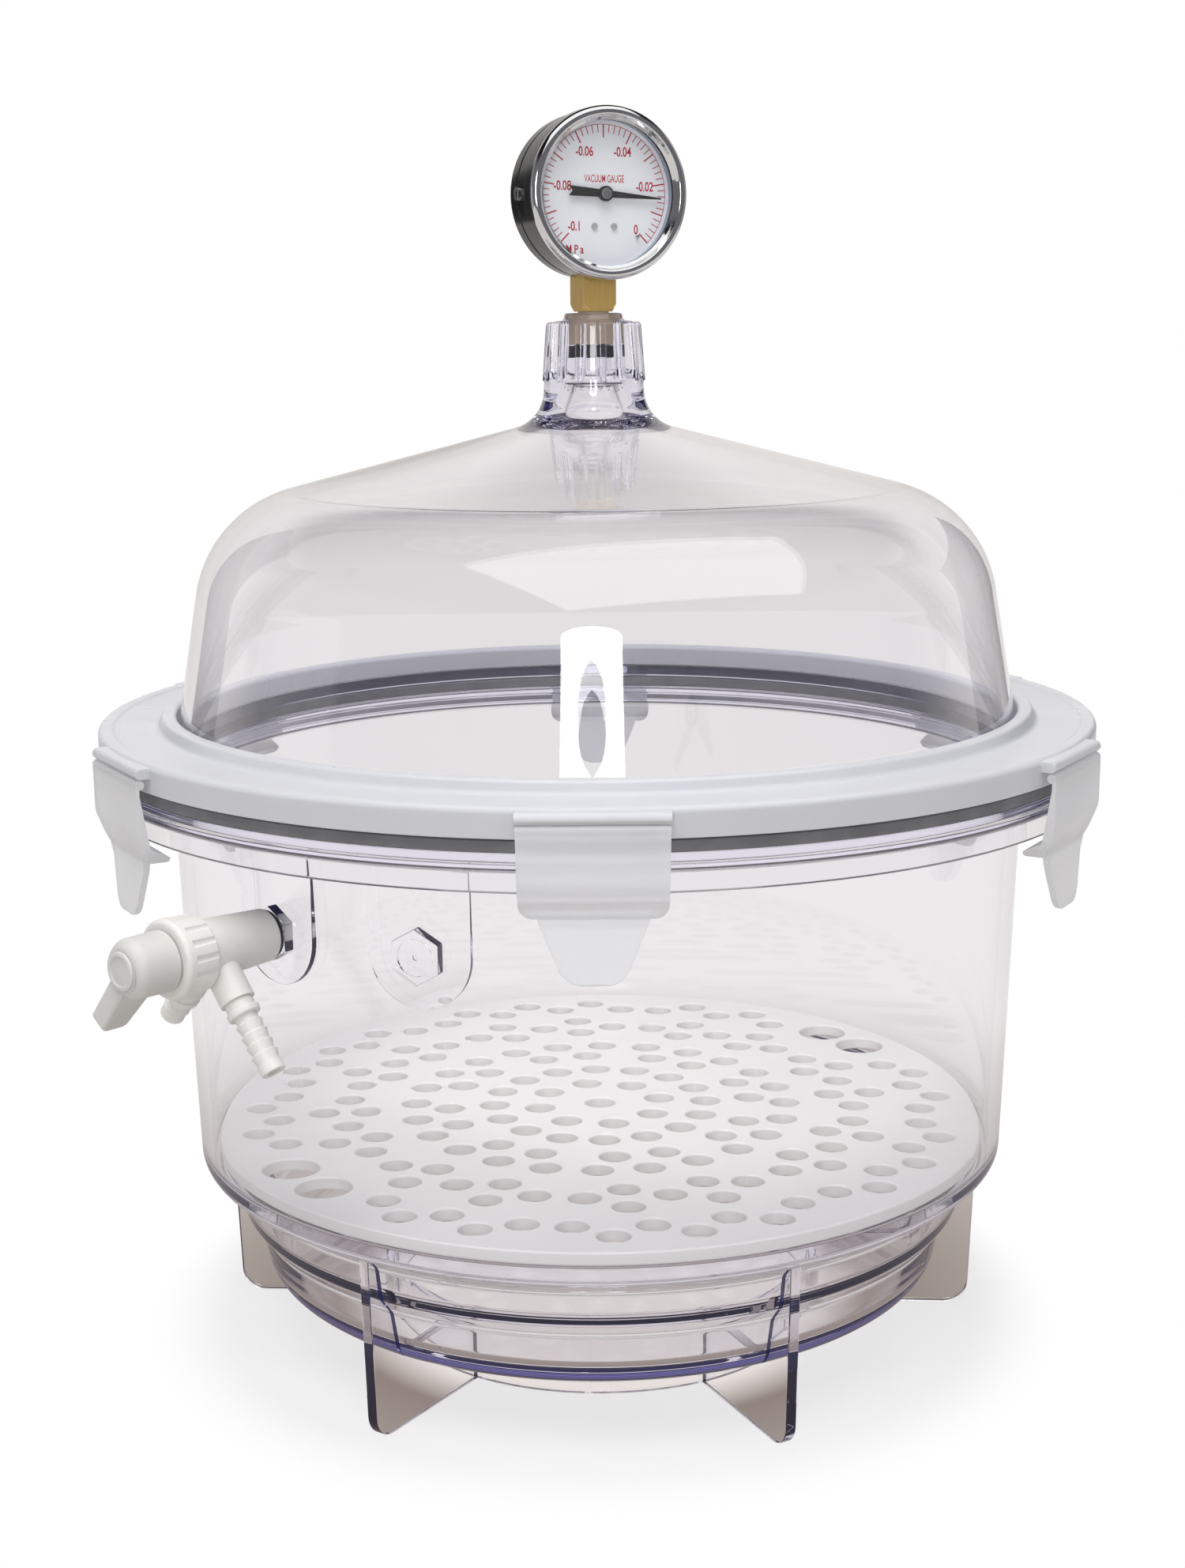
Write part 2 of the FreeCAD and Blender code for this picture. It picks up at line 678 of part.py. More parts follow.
def sector_gear():
    """Toothed-sector blank on its own pin, drawn at its pitch circle."""
    reach = GEAR_CENTRES - PINION_R - 0.08
    wedge = Part.makeCylinder(reach, 1.6, V(0, 0, 0), UP, 40)
    wedge.rotate(CENTRE, UP, 80)
    hub = rod(1.9, V(0, 0, -3.6), UP, 7.0)
    pin = rod(SECTOR_PIN_R, V(0, 0, FRAME_BACK + 0.2), UP, FRAME_FRONT - FRAME_BACK - 0.4)
    solid = joined([wedge, hub, pin])
    solid.translate(V(0, -GEAR_CENTRES, 0))
    return solid


def pinion_arbor():
    arbor = rod(ARBOR_R, V(0, 0, FRAME_BACK + 0.2), UP, POINTER_FRONT - FRAME_BACK - 0.2)
    pinion = rod(PINION_R, V(0, 0, -0.6), UP, 2.8)
    return arbor.fuse(pinion).removeSplitter()


def gauge_pointer():
    """Pointer with a tapered blade, a broad notched tail and a hub, at its rest reading."""
    blade = face([(-13.6, -1.7), (-12.2, 0), (-13.6, 1.7), (-2, 1.3), (2, 1.2), (21.3, 0.25), (21.3, -0.25),
                  (2, -1.2), (-2, -1.3)])
    solid = blade.extrude(V(0, -0.6, 0))
    solid.rotate(CENTRE, ACROSS, -90)
    solid.translate(V(0, 0, POINTER_FRONT - 1.4))
    hub = rod(2.6, V(0, 0, POINTER_FRONT - 1.6), UP, 1.6)
    bore = rod(ARBOR_R, V(0, 0, POINTER_FRONT - 3), UP, 5)
    solid = joined([solid, hub]).cut(bore)
    solid.rotate(CENTRE, UP, 90 - POINTER_ANGLE)
    return solid


def pointer_cap():
    return turned([(0, POINTER_FRONT), (1.9, POINTER_FRONT), (1.9, POINTER_FRONT + 0.5, 0.2),
                   (0, POINTER_FRONT + 0.5)])


# ---- stopcock -----------------------------------------------------------------------------
def on_tap(shape):
    return facing(shape, PORT_ANGLE, PORT_Z)


def port_seal():
    """Rubber ring between the hexagonal boss and the stopcock."""
    return ring(5.3, 8.0, TAP_START - 0.2, TAP_START + 1.4)


def barb_direction(side):
    return V(side * sin(radians(BARB_TILT)), -cos(radians(BARB_TILT)), 0)


def stopcock_body():
    """Tapered barrel with a spigot through the wall and two sockets for the hose barbs."""
    start = TAP_START + 1.4
    barrel = turned([
        (0, 148.5),
        (4.6, 148.5, 0.6),
        (5.15, 150),
        (5.15, start),
        (8.6, start, 0.8),
        (10.0, NUT_BACK - 1, 0.5),
        (10.0, 196),
        (0, 196),
    ])
    solids = [barrel]
    cutters = [
        rod(TAP_CORE_R, V(0, 0, 168), UP, 40),
        rod(8.2, V(0, 0, 193), UP, 10),
        rod(2.2, V(0, 0, 140), UP, 40),
    ]
    at = V(0, 0, BARB_AT)
    for side in (-1, 1):
        way = barb_direction(side)
        solids.append(rod(5.7, at, way, SOCKET_END))
        cutters.append(rod(SPIGOT_R + FIT_GAP, at + way * 12.5, way, 20))
        cutters.append(rod(2.2, at + way * 3, way, 20))
    return joined(solids).cut(cutters)


def hose_barb(side, length):
    """Hose barb glued into its socket; length is from the barrel's axis to the tip."""
    outline = [
        (2.2, 12.5),
        (SPIGOT_R, 12.5),
        (SPIGOT_R, SOCKET_END + 0.05),
        (4.7, SOCKET_END + 0.6),
        (4.7, SOCKET_END + 3.0),
        (5.5, SOCKET_END + 3.2, 0.3),
        (5.3, SOCKET_END + 5.2, 0.4),
        (VALLEY_R, SOCKET_END + 5.4),
    ]
    start = SOCKET_END + 8.0
    steps = 4 if length > 40 else 2
    pitch = (length - start - TIP_LAND) / steps
    for i in range(steps):
        z = start + pitch * i
        outline += [(VALLEY_R, z - 0.4), (4.45, z), (VALLEY_R, z + pitch * 0.7)]
    outline += [(TIP_R, length - TIP_LAND), (TIP_R, length, 0.3), (2.2, length)]
    barb = turned(outline)
    barb.rotate(CENTRE, ACROSS, 90)
    barb.rotate(CENTRE, UP, side * BARB_TILT)
    barb.translate(V(0, 0, BARB_AT))
    return barb


def union_nut():
    """Ribbed nut on the front of the barrel; its lip keeps the plug in."""
    shell = turned([
        (10.05, NUT_BACK),
        (12.6, NUT_BACK, 0.8),
        (12.9, NUT_FRONT, 1.6),
        (7.2, NUT_FRONT, 0.5),
        (7.2, 196.4),
        (10.05, 196.4),
    ])
    grip = rod(1.3, V(13.3, 0, NUT_BACK - 1), UP, NUT_FRONT - NUT_BACK - 2.2)
    grooves = []
    for i in range(16):
        groove = grip.copy()
        groove.rotate(CENTRE, UP, 22.5 * i + 8)
        grooves.append(groove)
    return shell.cut(grooves)


def stopcock_plug():
    """Turning plug with an axial and a sideways bore, two ring grooves, a flange and a stem."""
    core = TAP_CORE_R - FIT_GAP
    plug = turned([
        (0, 168.4),
        (core, 168.4, 0.4),
        (core, 193.3),
        (8.0, 193.3),
        (8.0, 196.0),
        (5.0, 196.0),
        (5.0, 208),
        (0, 208),
    ])
    cutters = [rod(2.2, V(0, 0, 160), UP, BARB_AT - 160)]
    cutters.append(rod(2.2, V(0, 0, BARB_AT), barb_direction(1), 10))
    for z in PLUG_RING_AT:
        cutters.append(ring(3.1, 6, z - 0.75, z + 0.75))
    return plug.cut(cutters)


def plug_o_rings():
    return [on_tap(Part.makeTorus(3.84, 0.71, V(0, 0, z), UP)) for z in PLUG_RING_AT]


def stopcock_handle():
    """Round hub with a lever that points down and leans outwards."""
    hub = turned([
        (0, HUB_BACK),
        (9.8, HUB_BACK, 0.5),
        (9.6, HUB_FRONT, 4.5),
        (6.9, HUB_FRONT),
        (6.5, HUB_FRONT - 0.8),
        (0, HUB_FRONT - 0.8),
    ])
    lever = face([
        (HUB_BACK + 1.0, 4),
        (HUB_BACK + 1.5, -9),
        (HUB_BACK + 6.0, -LEVER_REACH, 2.5),
        (HUB_FRONT, -LEVER_REACH, 2.5),
        (HUB_FRONT - 1.0, -6, 6),
        (HUB_FRONT - 3.0, 4),
    ]).extrude(V(0, LEVER_WIDTH, 0))
    lever.translate(V(0, -LEVER_WIDTH / 2, 0))
    lever.rotate(CENTRE, V(1, 1, 1), -120)
    lever.rotate(CENTRE, UP, -LEVER_TILT)
    return joined([hub, lever]).cut(rod(5.0, V(0, 0, HUB_BACK - 1), UP, 209 - HUB_BACK))


def handle_cap():
    """Round cap let into the front of the handle."""
    front = HUB_FRONT - 0.8
    return turned([(0, front), (6.2, front), (6.2, front + 1.5, 0.5), (5.0, front + 1.7, 0.3),
                   (4.6, front + 1.2, 0.2), (0, front + 1.2)])


# ---- write the sub-parts ------------------------------------------------------------------
os.makedirs("parts", exist_ok=True)

save("tub", tub())
save("tub_fins", tub_fins())
save("tub_foot_ring", foot_ring())
save("lid_gasket", lid_gasket())
save("perforated_plate", perforated_plate())

dome, neck_foot, flutes = dome_cover()
save("dome_cover", dome)
save("neck_foot", neck_foot)
save("neck_flutes", flutes)
save("clamp_ring", clamp_ring())
front_clip = clip()
for number in range(CLIP_COUNT):
    save("clip_%d" % (number + 1), at_angle(front_clip, 60 * number))

save("gauge_seal", gauge_seal())
save("gauge_socket", gauge_socket())
save("gauge_case", on_gauge(gauge_case()))
save("blowout_plug", on_gauge(blowout_plug()))
save("gauge_bezel", on_gauge(gauge_bezel()))
save("gauge_window", on_gauge(gauge_window()))
save("window_gasket", on_gauge(ring(SIGHT_R + 0.6, 26.9, WINDOW_BACK - 0.8, WINDOW_BACK)))
save("dial_spacer", on_gauge(ring(SIGHT_R + 0.4, CASE_R - 1.3, DIAL_FACE, WINDOW_BACK - 0.8)))
save("gauge_dial", on_gauge(gauge_dial()))
save("dial_screws", dial_screws())
save("pointer_stop", on_gauge(pointer_stop()))
save("case_screws", case_screws())
save("bourdon_tube", on_gauge(bourdon_tube()))
save("movement_frame", on_gauge(movement_frame()))
save("sector_gear", on_gauge(sector_gear()))
save("pinion_arbor", on_gauge(pinion_arbor()))
save("gauge_pointer", on_gauge(gauge_pointer()))
save("pointer_cap", on_gauge(pointer_cap()))

save("port_seal", on_tap(port_seal()))
save("stopcock_body", on_tap(stopcock_body()))
save("hose_barb_long", on_tap(hose_barb(1, 45.0)))
save("hose_barb_short", on_tap(hose_barb(-1, 34.0)))
save("union_nut", on_tap(union_nut()))
save("stopcock_plug", on_tap(stopcock_plug()))
save("plug_o_rings", plug_o_rings())
save("stopcock_handle", on_tap(stopcock_handle()))
save("handle_cap", on_tap(handle_cap()))
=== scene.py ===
"""Vacuum desiccator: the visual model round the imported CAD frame, its materials, a plain studio
and the camera.

Outlines are in millimetres, in the frame's own axes: +Z is up and the front is -Y.  Angles are
counted from the front towards +X.
"""
from math import atan2, ceil, cos, hypot, pi, radians, sin, sqrt, tan

import bmesh
import bpy
from mathutils import Matrix, Vector


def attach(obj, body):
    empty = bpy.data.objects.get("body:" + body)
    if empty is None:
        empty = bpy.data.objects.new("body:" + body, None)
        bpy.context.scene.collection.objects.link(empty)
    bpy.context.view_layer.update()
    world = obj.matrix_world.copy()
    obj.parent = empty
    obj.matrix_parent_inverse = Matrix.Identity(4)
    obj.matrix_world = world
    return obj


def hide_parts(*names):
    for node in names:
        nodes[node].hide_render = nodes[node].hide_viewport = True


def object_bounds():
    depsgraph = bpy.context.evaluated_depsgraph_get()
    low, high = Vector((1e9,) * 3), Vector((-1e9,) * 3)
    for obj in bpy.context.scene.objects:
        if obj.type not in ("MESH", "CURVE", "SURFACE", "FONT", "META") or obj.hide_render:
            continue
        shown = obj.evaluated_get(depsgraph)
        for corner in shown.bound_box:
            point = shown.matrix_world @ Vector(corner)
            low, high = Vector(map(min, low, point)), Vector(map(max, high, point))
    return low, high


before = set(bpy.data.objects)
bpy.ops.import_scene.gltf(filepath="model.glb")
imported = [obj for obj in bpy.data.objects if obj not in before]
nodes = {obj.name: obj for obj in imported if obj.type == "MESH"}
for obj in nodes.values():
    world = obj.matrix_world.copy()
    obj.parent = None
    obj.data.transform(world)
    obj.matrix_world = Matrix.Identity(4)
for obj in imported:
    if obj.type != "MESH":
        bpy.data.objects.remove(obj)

cad_low, cad_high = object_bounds()
MM = 0.001
SEEN_GAP = 0.03            # air between faces that touch, so that neither flickers


# ---- mesh helpers -------------------------------------------------------------------------
def rounded(points):
    """Outline with its corners rounded: points are (a, b) or (a, b, radius)."""
    result = []
    count = len(points)
    for i, point in enumerate(points):
        here = Vector(point[:2])
        radius = point[2] if len(point) > 2 else 0
        if radius == 0:
            result.append(here)
            continue
        before = (Vector(points[i - 1][:2]) - here).normalized()
        after = (Vector(points[(i + 1) % count][:2]) - here).normalized()
        half = before.angle(after) / 2
        reach = radius / tan(half)
        centre = here + (before + after).normalized() * (radius / sin(half))
        start = here + before * reach - centre
        end = here + after * reach - centre
        sweep = atan2(start.x * end.y - start.y * end.x, start.dot(end))
        step = 3 if radius > 20 else 9
        steps = max(2, ceil(abs(sweep) / radians(step)))
        for k in range(steps + 1):
            turn = Matrix.Rotation(sweep * k / steps, 2)
            result.append(centre + turn @ start)
    return result


def mesh_object(name, verts, faces):
    mesh = bpy.data.meshes.new(name)
    mesh.from_pydata([Vector(v) * MM for v in verts], [], faces)
    tidy = bmesh.new()
    tidy.from_mesh(mesh)
    bmesh.ops.recalc_face_normals(tidy, faces=tidy.faces)
    tidy.to_mesh(mesh)
    tidy.free()
    obj = bpy.data.objects.new(name, mesh)
    bpy.context.scene.collection.objects.link(obj)
    return obj


def lathe(name, outline, segments=96):
    """Solid of revolution about Z of a closed outline (radius, z)."""
    points = rounded(outline)
    verts, rings = [], []
    for r, z in points:
        if r < 1e-4:
            rings.append([len(verts)] * segments)
            verts.append((0, 0, z))
            continue
        rings.append(list(range(len(verts), len(verts) + segments)))
        for k in range(segments):
            a = 2 * pi * k / segments
            verts.append((r * cos(a), r * sin(a), z))
    faces = []
    for i, lower in enumerate(rings):
        upper = rings[(i + 1) % len(rings)]
        for k in range(segments):
            n = (k + 1) % segments
            corners = list(dict.fromkeys([lower[k], lower[n], upper[n], upper[k]]))
            if len(corners) > 2:
                faces.append(corners)
    return mesh_object(name, verts, faces)


def band(name, inner, outer, low, high, segments=96):
    return lathe(name, [(inner, low), (outer, low), (outer, high), (inner, high)], segments)


def prism(name, near, far):
    """Solid between two matching loops of points."""
    count = len(near)
    faces = [list(range(count)), list(range(count, 2 * count))]
    for i in range(count):
        n = (i + 1) % count
        faces.append([i, n, count + n, count + i])
    return mesh_object(name, list(near) + list(far), faces)


def slab(name, outline, width):
    """An outline (radius, z) at the front, spread by width to both sides."""
    points = rounded(outline)
    return prism(name, [(-width / 2, -r, z) for r, z in points], [(width / 2, -r, z) for r, z in points])


def plank(name, outline, near, far):
    """An outline (x, z) seen from the front, running from radius near to radius far."""
    points = rounded(outline)
    return prism(name, [(x, -near, z) for x, z in points], [(x, -far, z) for x, z in points])


def plate(name, outline, low, high):
    """An outline (x, y) standing between two heights."""
    points = rounded(outline)
    return prism(name, [(x, y, low) for x, y in points], [(x, y, high) for x, y in points])


def polygon(flats, sides, turn=0.0):
    radius = flats / 2 / cos(pi / sides)
    return [(radius * cos(radians(turn) + 2 * pi * i / sides), radius * sin(radians(turn) + 2 * pi * i / sides))
            for i in range(sides)]


def rod(name, radius, start, direction, length, segments=64):
    obj = lathe(name, [(0, 0), (radius, 0), (radius, length), (0, length)], segments)
    turn = Vector((0, 0, 1)).rotation_difference(Vector(direction)).to_matrix().to_4x4()
    obj.data.transform(Matrix.Translation(Vector(start) * MM) @ turn)
    return obj


def turned_by(obj, degrees, axis="Z"):
    obj.data.transform(Matrix.Rotation(radians(degrees), 4, axis))
    return obj


def shifted(obj, x, y, z):
    obj.data.transform(Matrix.Translation(Vector((x, y, z)) * MM))
    return obj


def facing(obj, angle, height):
    """Turn a piece built along +Z, with +Y up, so that it faces outwards at an angle."""
    turned_by(obj, 90, "X")
    shifted(obj, 0, 0, height)
    return turned_by(obj, angle)


def settle(obj):
    """Replace a piece's mesh by what its modifiers make of it."""
    seen = obj.evaluated_get(bpy.context.evaluated_depsgraph_get())
    mesh = bpy.data.meshes.new_from_object(seen)
    mesh.name = obj.name
    obj.modifiers.clear()
    obj.data = mesh
    return obj


def combine(obj, others, kind="UNION", solver="MANIFOLD"):
    """Add or take away other solids, which are used up."""
    for other in others:
        modifier = obj.modifiers.new("combine", "BOOLEAN")
        modifier.operation = kind
        modifier.solver = solver
        modifier.object = other
    bpy.context.view_layer.update()
    settle(obj)
    for other in others:
        bpy.data.objects.remove(other)
    return obj


def eased(obj, width, angle=35, segments=2):
    """Round a solid's sharp edges."""
    work = bmesh.new()
    work.from_mesh(obj.data)
    bmesh.ops.remove_doubles(work, verts=work.verts, dist=0.002 * MM)
    bmesh.ops.dissolve_limit(work, angle_limit=radians(0.8), verts=work.verts, edges=work.edges)
    work.to_mesh(obj.data)
    work.free()
    modifier = obj.modifiers.new("ease", "BEVEL")
    modifier.width = width * MM
    modifier.segments = segments
    modifier.limit_method = "ANGLE"
    modifier.angle_limit = radians(angle)
    modifier.use_clamp_overlap = True
    return settle(obj)


def finish_piece(obj, material, body, replaced=(), sharp=32):
    """Shade, paint and mount a piece."""
    obj.data.polygons.foreach_set("use_smooth", [True] * len(obj.data.polygons))
    obj.data.set_sharp_from_angle(angle=radians(sharp))
    evened = obj.modifiers.new("even", "WEIGHTED_NORMAL")
    evened.keep_sharp = True
    evened.weight = 50
    bpy.context.view_layer.update()
    settle(obj)
    obj.data.materials.clear()
    obj.data.materials.append(material)
    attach(obj, body)
    if replaced:
        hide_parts(*replaced)
    return obj


def dress(name, material):
    """Give a CAD node a finish."""
    obj = nodes[name]
    if not obj.material_slots:
        obj.data.materials.append(material)
    for slot in obj.material_slots:
        slot.link = "OBJECT"
        slot.material = material


# ---- materials ----------------------------------------------------------------------------
NOISE_LOW, NOISE_HIGH = 0.3, 0.7       # where most of a noise's values lie


def new_material(name):
    material = bpy.data.materials.new(name)
    material.use_nodes = True
    tree = material.node_tree
    tree.nodes.clear()
    out = tree.nodes.new("ShaderNodeOutputMaterial")
    shader = tree.nodes.new("ShaderNodeBsdfPrincipled")
    tree.links.new(shader.outputs[0], out.inputs["Surface"])
    return material, tree, shader, out


def object_noise(tree, scale, detail=3.0, stretch=(1, 1, 1)):
    """Noise in the part's own coordinates."""
    place = tree.nodes.new("ShaderNodeTexCoord")
    sized = tree.nodes.new("ShaderNodeMapping")
    sized.inputs["Scale"].default_value = stretch
    noise = tree.nodes.new("ShaderNodeTexNoise")
    noise.inputs["Scale"].default_value = scale
    noise.inputs["Detail"].default_value = detail
    tree.links.new(place.outputs["Object"], sized.inputs["Vector"])
    tree.links.new(sized.outputs[0], noise.inputs["Vector"])
    return noise


def graded(tree, source, start, end, first=0.0, last=1.0, kind="LINEAR"):
    """A value that runs from first to last while the source runs from start to end."""
    spread = tree.nodes.new("ShaderNodeMapRange")
    spread.interpolation_type = kind
    spread.inputs["From Min"].default_value = start
    spread.inputs["From Max"].default_value = end
    spread.inputs["To Min"].default_value = first
    spread.inputs["To Max"].default_value = last
    tree.links.new(source, spread.inputs["Value"])
    return spread.outputs["Result"]


def ranged(tree, source, low, high):
    """Noise spread over a range."""
    return graded(tree, source, NOISE_LOW, NOISE_HIGH, low, high)


def between(tree, source, first, second):
    ramp = tree.nodes.new("ShaderNodeValToRGB")
    ramp.color_ramp.elements[0].position = NOISE_LOW
    ramp.color_ramp.elements[1].position = NOISE_HIGH
    ramp.color_ramp.elements[0].color = (*first, 1)
    ramp.color_ramp.elements[1].color = (*second, 1)
    tree.links.new(source, ramp.inputs[0])
    return ramp.outputs[0]


def bumped(tree, shader, source, strength, depth):
    bump = tree.nodes.new("ShaderNodeBump")
    bump.inputs["Strength"].default_value = strength
    bump.inputs["Distance"].default_value = depth
    tree.links.new(source, bump.inputs["Height"])
    tree.links.new(bump.outputs[0], shader.inputs["Normal"])


def solid_material(name, first, second, rough, scale=60, bump=0.15, depth=0.0001, metallic=0.0,
                   subsurface=0.0, fine=900, ior=1.5, stretch=(1, 1, 1)):
    """Opaque finish whose colour, gloss and surface vary a little."""
    material, tree, shader, _ = new_material(name)
    broad = object_noise(tree, scale, 4.0, stretch)
    grain = object_noise(tree, fine, 2.0, stretch)
    tree.links.new(between(tree, broad.outputs["Fac"], first, second), shader.inputs["Base Color"])
    tree.links.new(ranged(tree, broad.outputs["Fac"], rough[0], rough[1]), shader.inputs["Roughness"])
    shader.inputs["Metallic"].default_value = metallic
    shader.inputs["IOR"].default_value = ior
    if subsurface:
        shader.inputs["Subsurface Weight"].default_value = subsurface
        shader.inputs["Subsurface Radius"].default_value = (1.0, 0.95, 0.9)
        shader.inputs["Subsurface Scale"].default_value = 0.003
    bumped(tree, shader, grain.outputs["Fac"], bump, depth)
    return material


def lets_light_through(tree, shader, out, tint):
    """Rays from lamps and scattered light pass straight through the surface."""
    path = tree.nodes.new("ShaderNodeLightPath")
    either = tree.nodes.new("ShaderNodeMath")
    either.operation = "MAXIMUM"
    clear = tree.nodes.new("ShaderNodeBsdfTransparent")
    clear.inputs["Color"].default_value = (*tint, 1)
    mix = tree.nodes.new("ShaderNodeMixShader")
    tree.links.new(path.outputs["Is Shadow Ray"], either.inputs[0])
    tree.links.new(path.outputs["Is Diffuse Ray"], either.inputs[1])
    tree.links.new(either.outputs[0], mix.inputs[0])
    tree.links.new(shader.outputs[0], mix.inputs[1])
    tree.links.new(clear.outputs[0], mix.inputs[2])
    tree.links.new(mix.outputs[0], out.inputs["Surface"])


def clear_material(name, ior, absorb, density, glow, rough=(0.0, 0.012), depth=0.00004,
                   tint=(0.965, 0.965, 0.965)):
    """Clear moulded plastic: faint flow marks, a polish that varies, a tinted inside and a painted indigo glow inside
    it.
    """
    material, tree, shader, out = new_material(name)
    shader.inputs["Base Color"].default_value = (0.995, 0.995, 1.0, 1)
    shader.inputs["Transmission Weight"].default_value = 1.0
    shader.inputs["IOR"].default_value = ior
    broad = object_noise(tree, 14, 3.0)
    flow = object_noise(tree, 9, 2.0, (1, 1, 0.35))
    tree.links.new(ranged(tree, broad.outputs["Fac"], rough[0], rough[1]), shader.inputs["Roughness"])
    bumped(tree, shader, flow.outputs["Fac"], 0.25, depth)
    inside = tree.nodes.new("ShaderNodeVolumeAbsorption")
    inside.inputs["Color"].default_value = (*absorb, 1)
    inside.inputs["Density"].default_value = density
    # painted light: the inside of the plastic glows faintly in the glow colour, a painted indigo that shows most along
    # the edges
    painted_edge_glow = tree.nodes.new("ShaderNodeEmission")
    painted_edge_glow.inputs["Color"].default_value = (*glow, 1)
    painted_edge_glow.inputs["Strength"].default_value = 1
    both = tree.nodes.new("ShaderNodeAddShader")
    tree.links.new(inside.outputs[0], both.inputs[0])
    tree.links.new(painted_edge_glow.outputs[0], both.inputs[1])
    tree.links.new(both.outputs[0], out.inputs["Volume"])
    lets_light_through(tree, shader, out, tint)
    return material


def frosted_material(name, colour, shade, clear, rough):
    """Milky plastic that lets some light and blurred shapes through."""
    material, tree, shader, out = new_material(name)
    broad = object_noise(tree, 26, 3.0)
    grain = object_noise(tree, 1100, 2.0)
    tree.links.new(between(tree, broad.outputs["Fac"], colour, shade), shader.inputs["Base Color"])
    tree.links.new(ranged(tree, broad.outputs["Fac"], rough[0], rough[1]), shader.inputs["Roughness"])
    shader.inputs["Transmission Weight"].default_value = clear
    shader.inputs["IOR"].default_value = 1.49
    bumped(tree, shader, grain.outputs["Fac"], 0.12, 0.00006)
    lets_light_through(tree, shader, out, (0.83, 0.83, 0.83))
    return material


# the last colour is a painted indigo glow inside the plastic, which shows along its edges
CLEAR_PC = clear_material("clear_polycarbonate", 1.585, (0.46, 0.44, 0.80), 10, (0.18, 0.178, 0.48))
WINDOW = clear_material("window_glass", 1.52, (0.8, 0.95, 0.9), 2, (0, 0, 0), (0.0, 0.0015), 0.000002,
                        (0.98, 0.98, 0.98))
RING_WHITE = solid_material("clamp_white", (0.575, 0.585, 0.62), (0.555, 0.565, 0.60), (0.26, 0.36), 22, 0.08,
                            0.00004, subsurface=0.35)
CLIP_WHITE = frosted_material("clip_white", (0.90, 0.905, 0.925), (0.87, 0.88, 0.905), 0.62, (0.50, 0.58))
PLATE_WHITE = solid_material("plate_white", (0.92, 0.905, 0.89), (0.90, 0.885, 0.87), (0.28, 0.4), 30, 0.15,
                             0.00006)
TAP_WHITE = solid_material("stopcock_white", (0.74, 0.73, 0.71), (0.70, 0.69, 0.67), (0.34, 0.46), 120, 0.25,
                           0.00008, subsurface=0.2)
HANDLE_WHITE = solid_material("handle_white", (0.62, 0.62, 0.60), (0.58, 0.58, 0.56), (0.36, 0.5), 120, 0.3,
                              0.0001, subsurface=0.2)
GASKET_GREY = solid_material("gasket_grey", (0.17, 0.17, 0.18), (0.13, 0.13, 0.14), (0.45, 0.62), 90, 0.3, 0.0001)
SEAL_BLACK = solid_material("seal_black", (0.012, 0.012, 0.013), (0.02, 0.02, 0.022), (0.4, 0.6), 200, 0.3)
CHROME = solid_material("chrome", (0.66, 0.66, 0.66), (0.60, 0.60, 0.60), (0.04, 0.10), 60, 0.05, 0.00003,
                        metallic=1.0, fine=300)
CASE_BLACK = solid_material("gauge_black", (0.010, 0.010, 0.011), (0.016, 0.016, 0.017), (0.10, 0.15), 40, 0.08,
                            0.00004, fine=400, ior=1.32)
BRASS = solid_material("brass", (0.90, 0.62, 0.22), (0.80, 0.52, 0.16), (0.26, 0.38), 160, 0.2, 0.00005,
                       metallic=0.6, fine=500, stretch=(6, 6, 0.5))
SEALED_BRASS = solid_material("sealed_brass", (0.46, 0.37, 0.29), (0.38, 0.30, 0.22), (0.5, 0.6), 160, 0.2, 0.00005)
STEEL = solid_material("steel", (0.52, 0.52, 0.53), (0.42, 0.42, 0.43), (0.18, 0.32), 200, 0.2, 0.00004,
                       metallic=1.0)
BRONZE = solid_material("bronze", (0.62, 0.38, 0.20), (0.52, 0.30, 0.14), (0.25, 0.4), 200, 0.2, 0.00004,
                        metallic=1.0)
DIAL_WHITE = solid_material("dial_white", (0.90, 0.92, 0.96), (0.88, 0.90, 0.94), (0.4, 0.5), 80, 0.1, 0.00002)
# the spacer's grey plastic is painted darker and bluer with the shade that falls on the wall inside the bezel
SPACER_GREY_AND_SHADE = solid_material("spacer_grey_and_shade", (0.34, 0.38, 0.45), (0.28, 0.32, 0.40), (0.35, 0.5), 80, 0.1, 0.00002)
POINTER_BLACK = solid_material("pointer_black", (0.012, 0.012, 0.012), (0.02, 0.02, 0.02), (0.35, 0.5), 300, 0.1,
                               0.00002)
SCREW_GREY = solid_material("screw_grey", (0.50, 0.50, 0.50), (0.42, 0.42, 0.43), (0.3, 0.4), 300, 0.1, 0.00001)
RED_INK = solid_material("red_ink", (0.50, 0.012, 0.03), (0.44, 0.01, 0.025), (0.45, 0.6), 400, 0.05, 0.00001)

# ---- tub ----------------------------------------------------------------------------------
RING_STEPS = 288           # segments round the large turned pieces
FLANGE_TOP_Z = 217.0
SEAL_Z = 221.0
SHELF_Z = 74.5
WELL_R = 126.0
SHELF_R = 150.0
RIM_R = 155.0
FLANGE_LOW_Z = 205.0
FLANGE_R = 178.8
WALL = 4.5
TUB_TURN = -3.1
FOOT_RING_R = 84.0
FLOOR_UNDER_Z = 23.0
PORT_Z = 177.5
PORT_ANGLE = -41.9
BLANK_ANGLE = -20.7
PAD_R = 17.5
PAD_FACE = 154.6
HEXAGON_FLATS = 16.0
PAD_EASES = (0.5, 1.6)     # edge rounding of the port's pad and of the blank one
FIN_THICK = 4.0
FIN_TOP_Z = 69.5
FOOT_RING_WALL = 3.0
CORE_INSET = 0.8

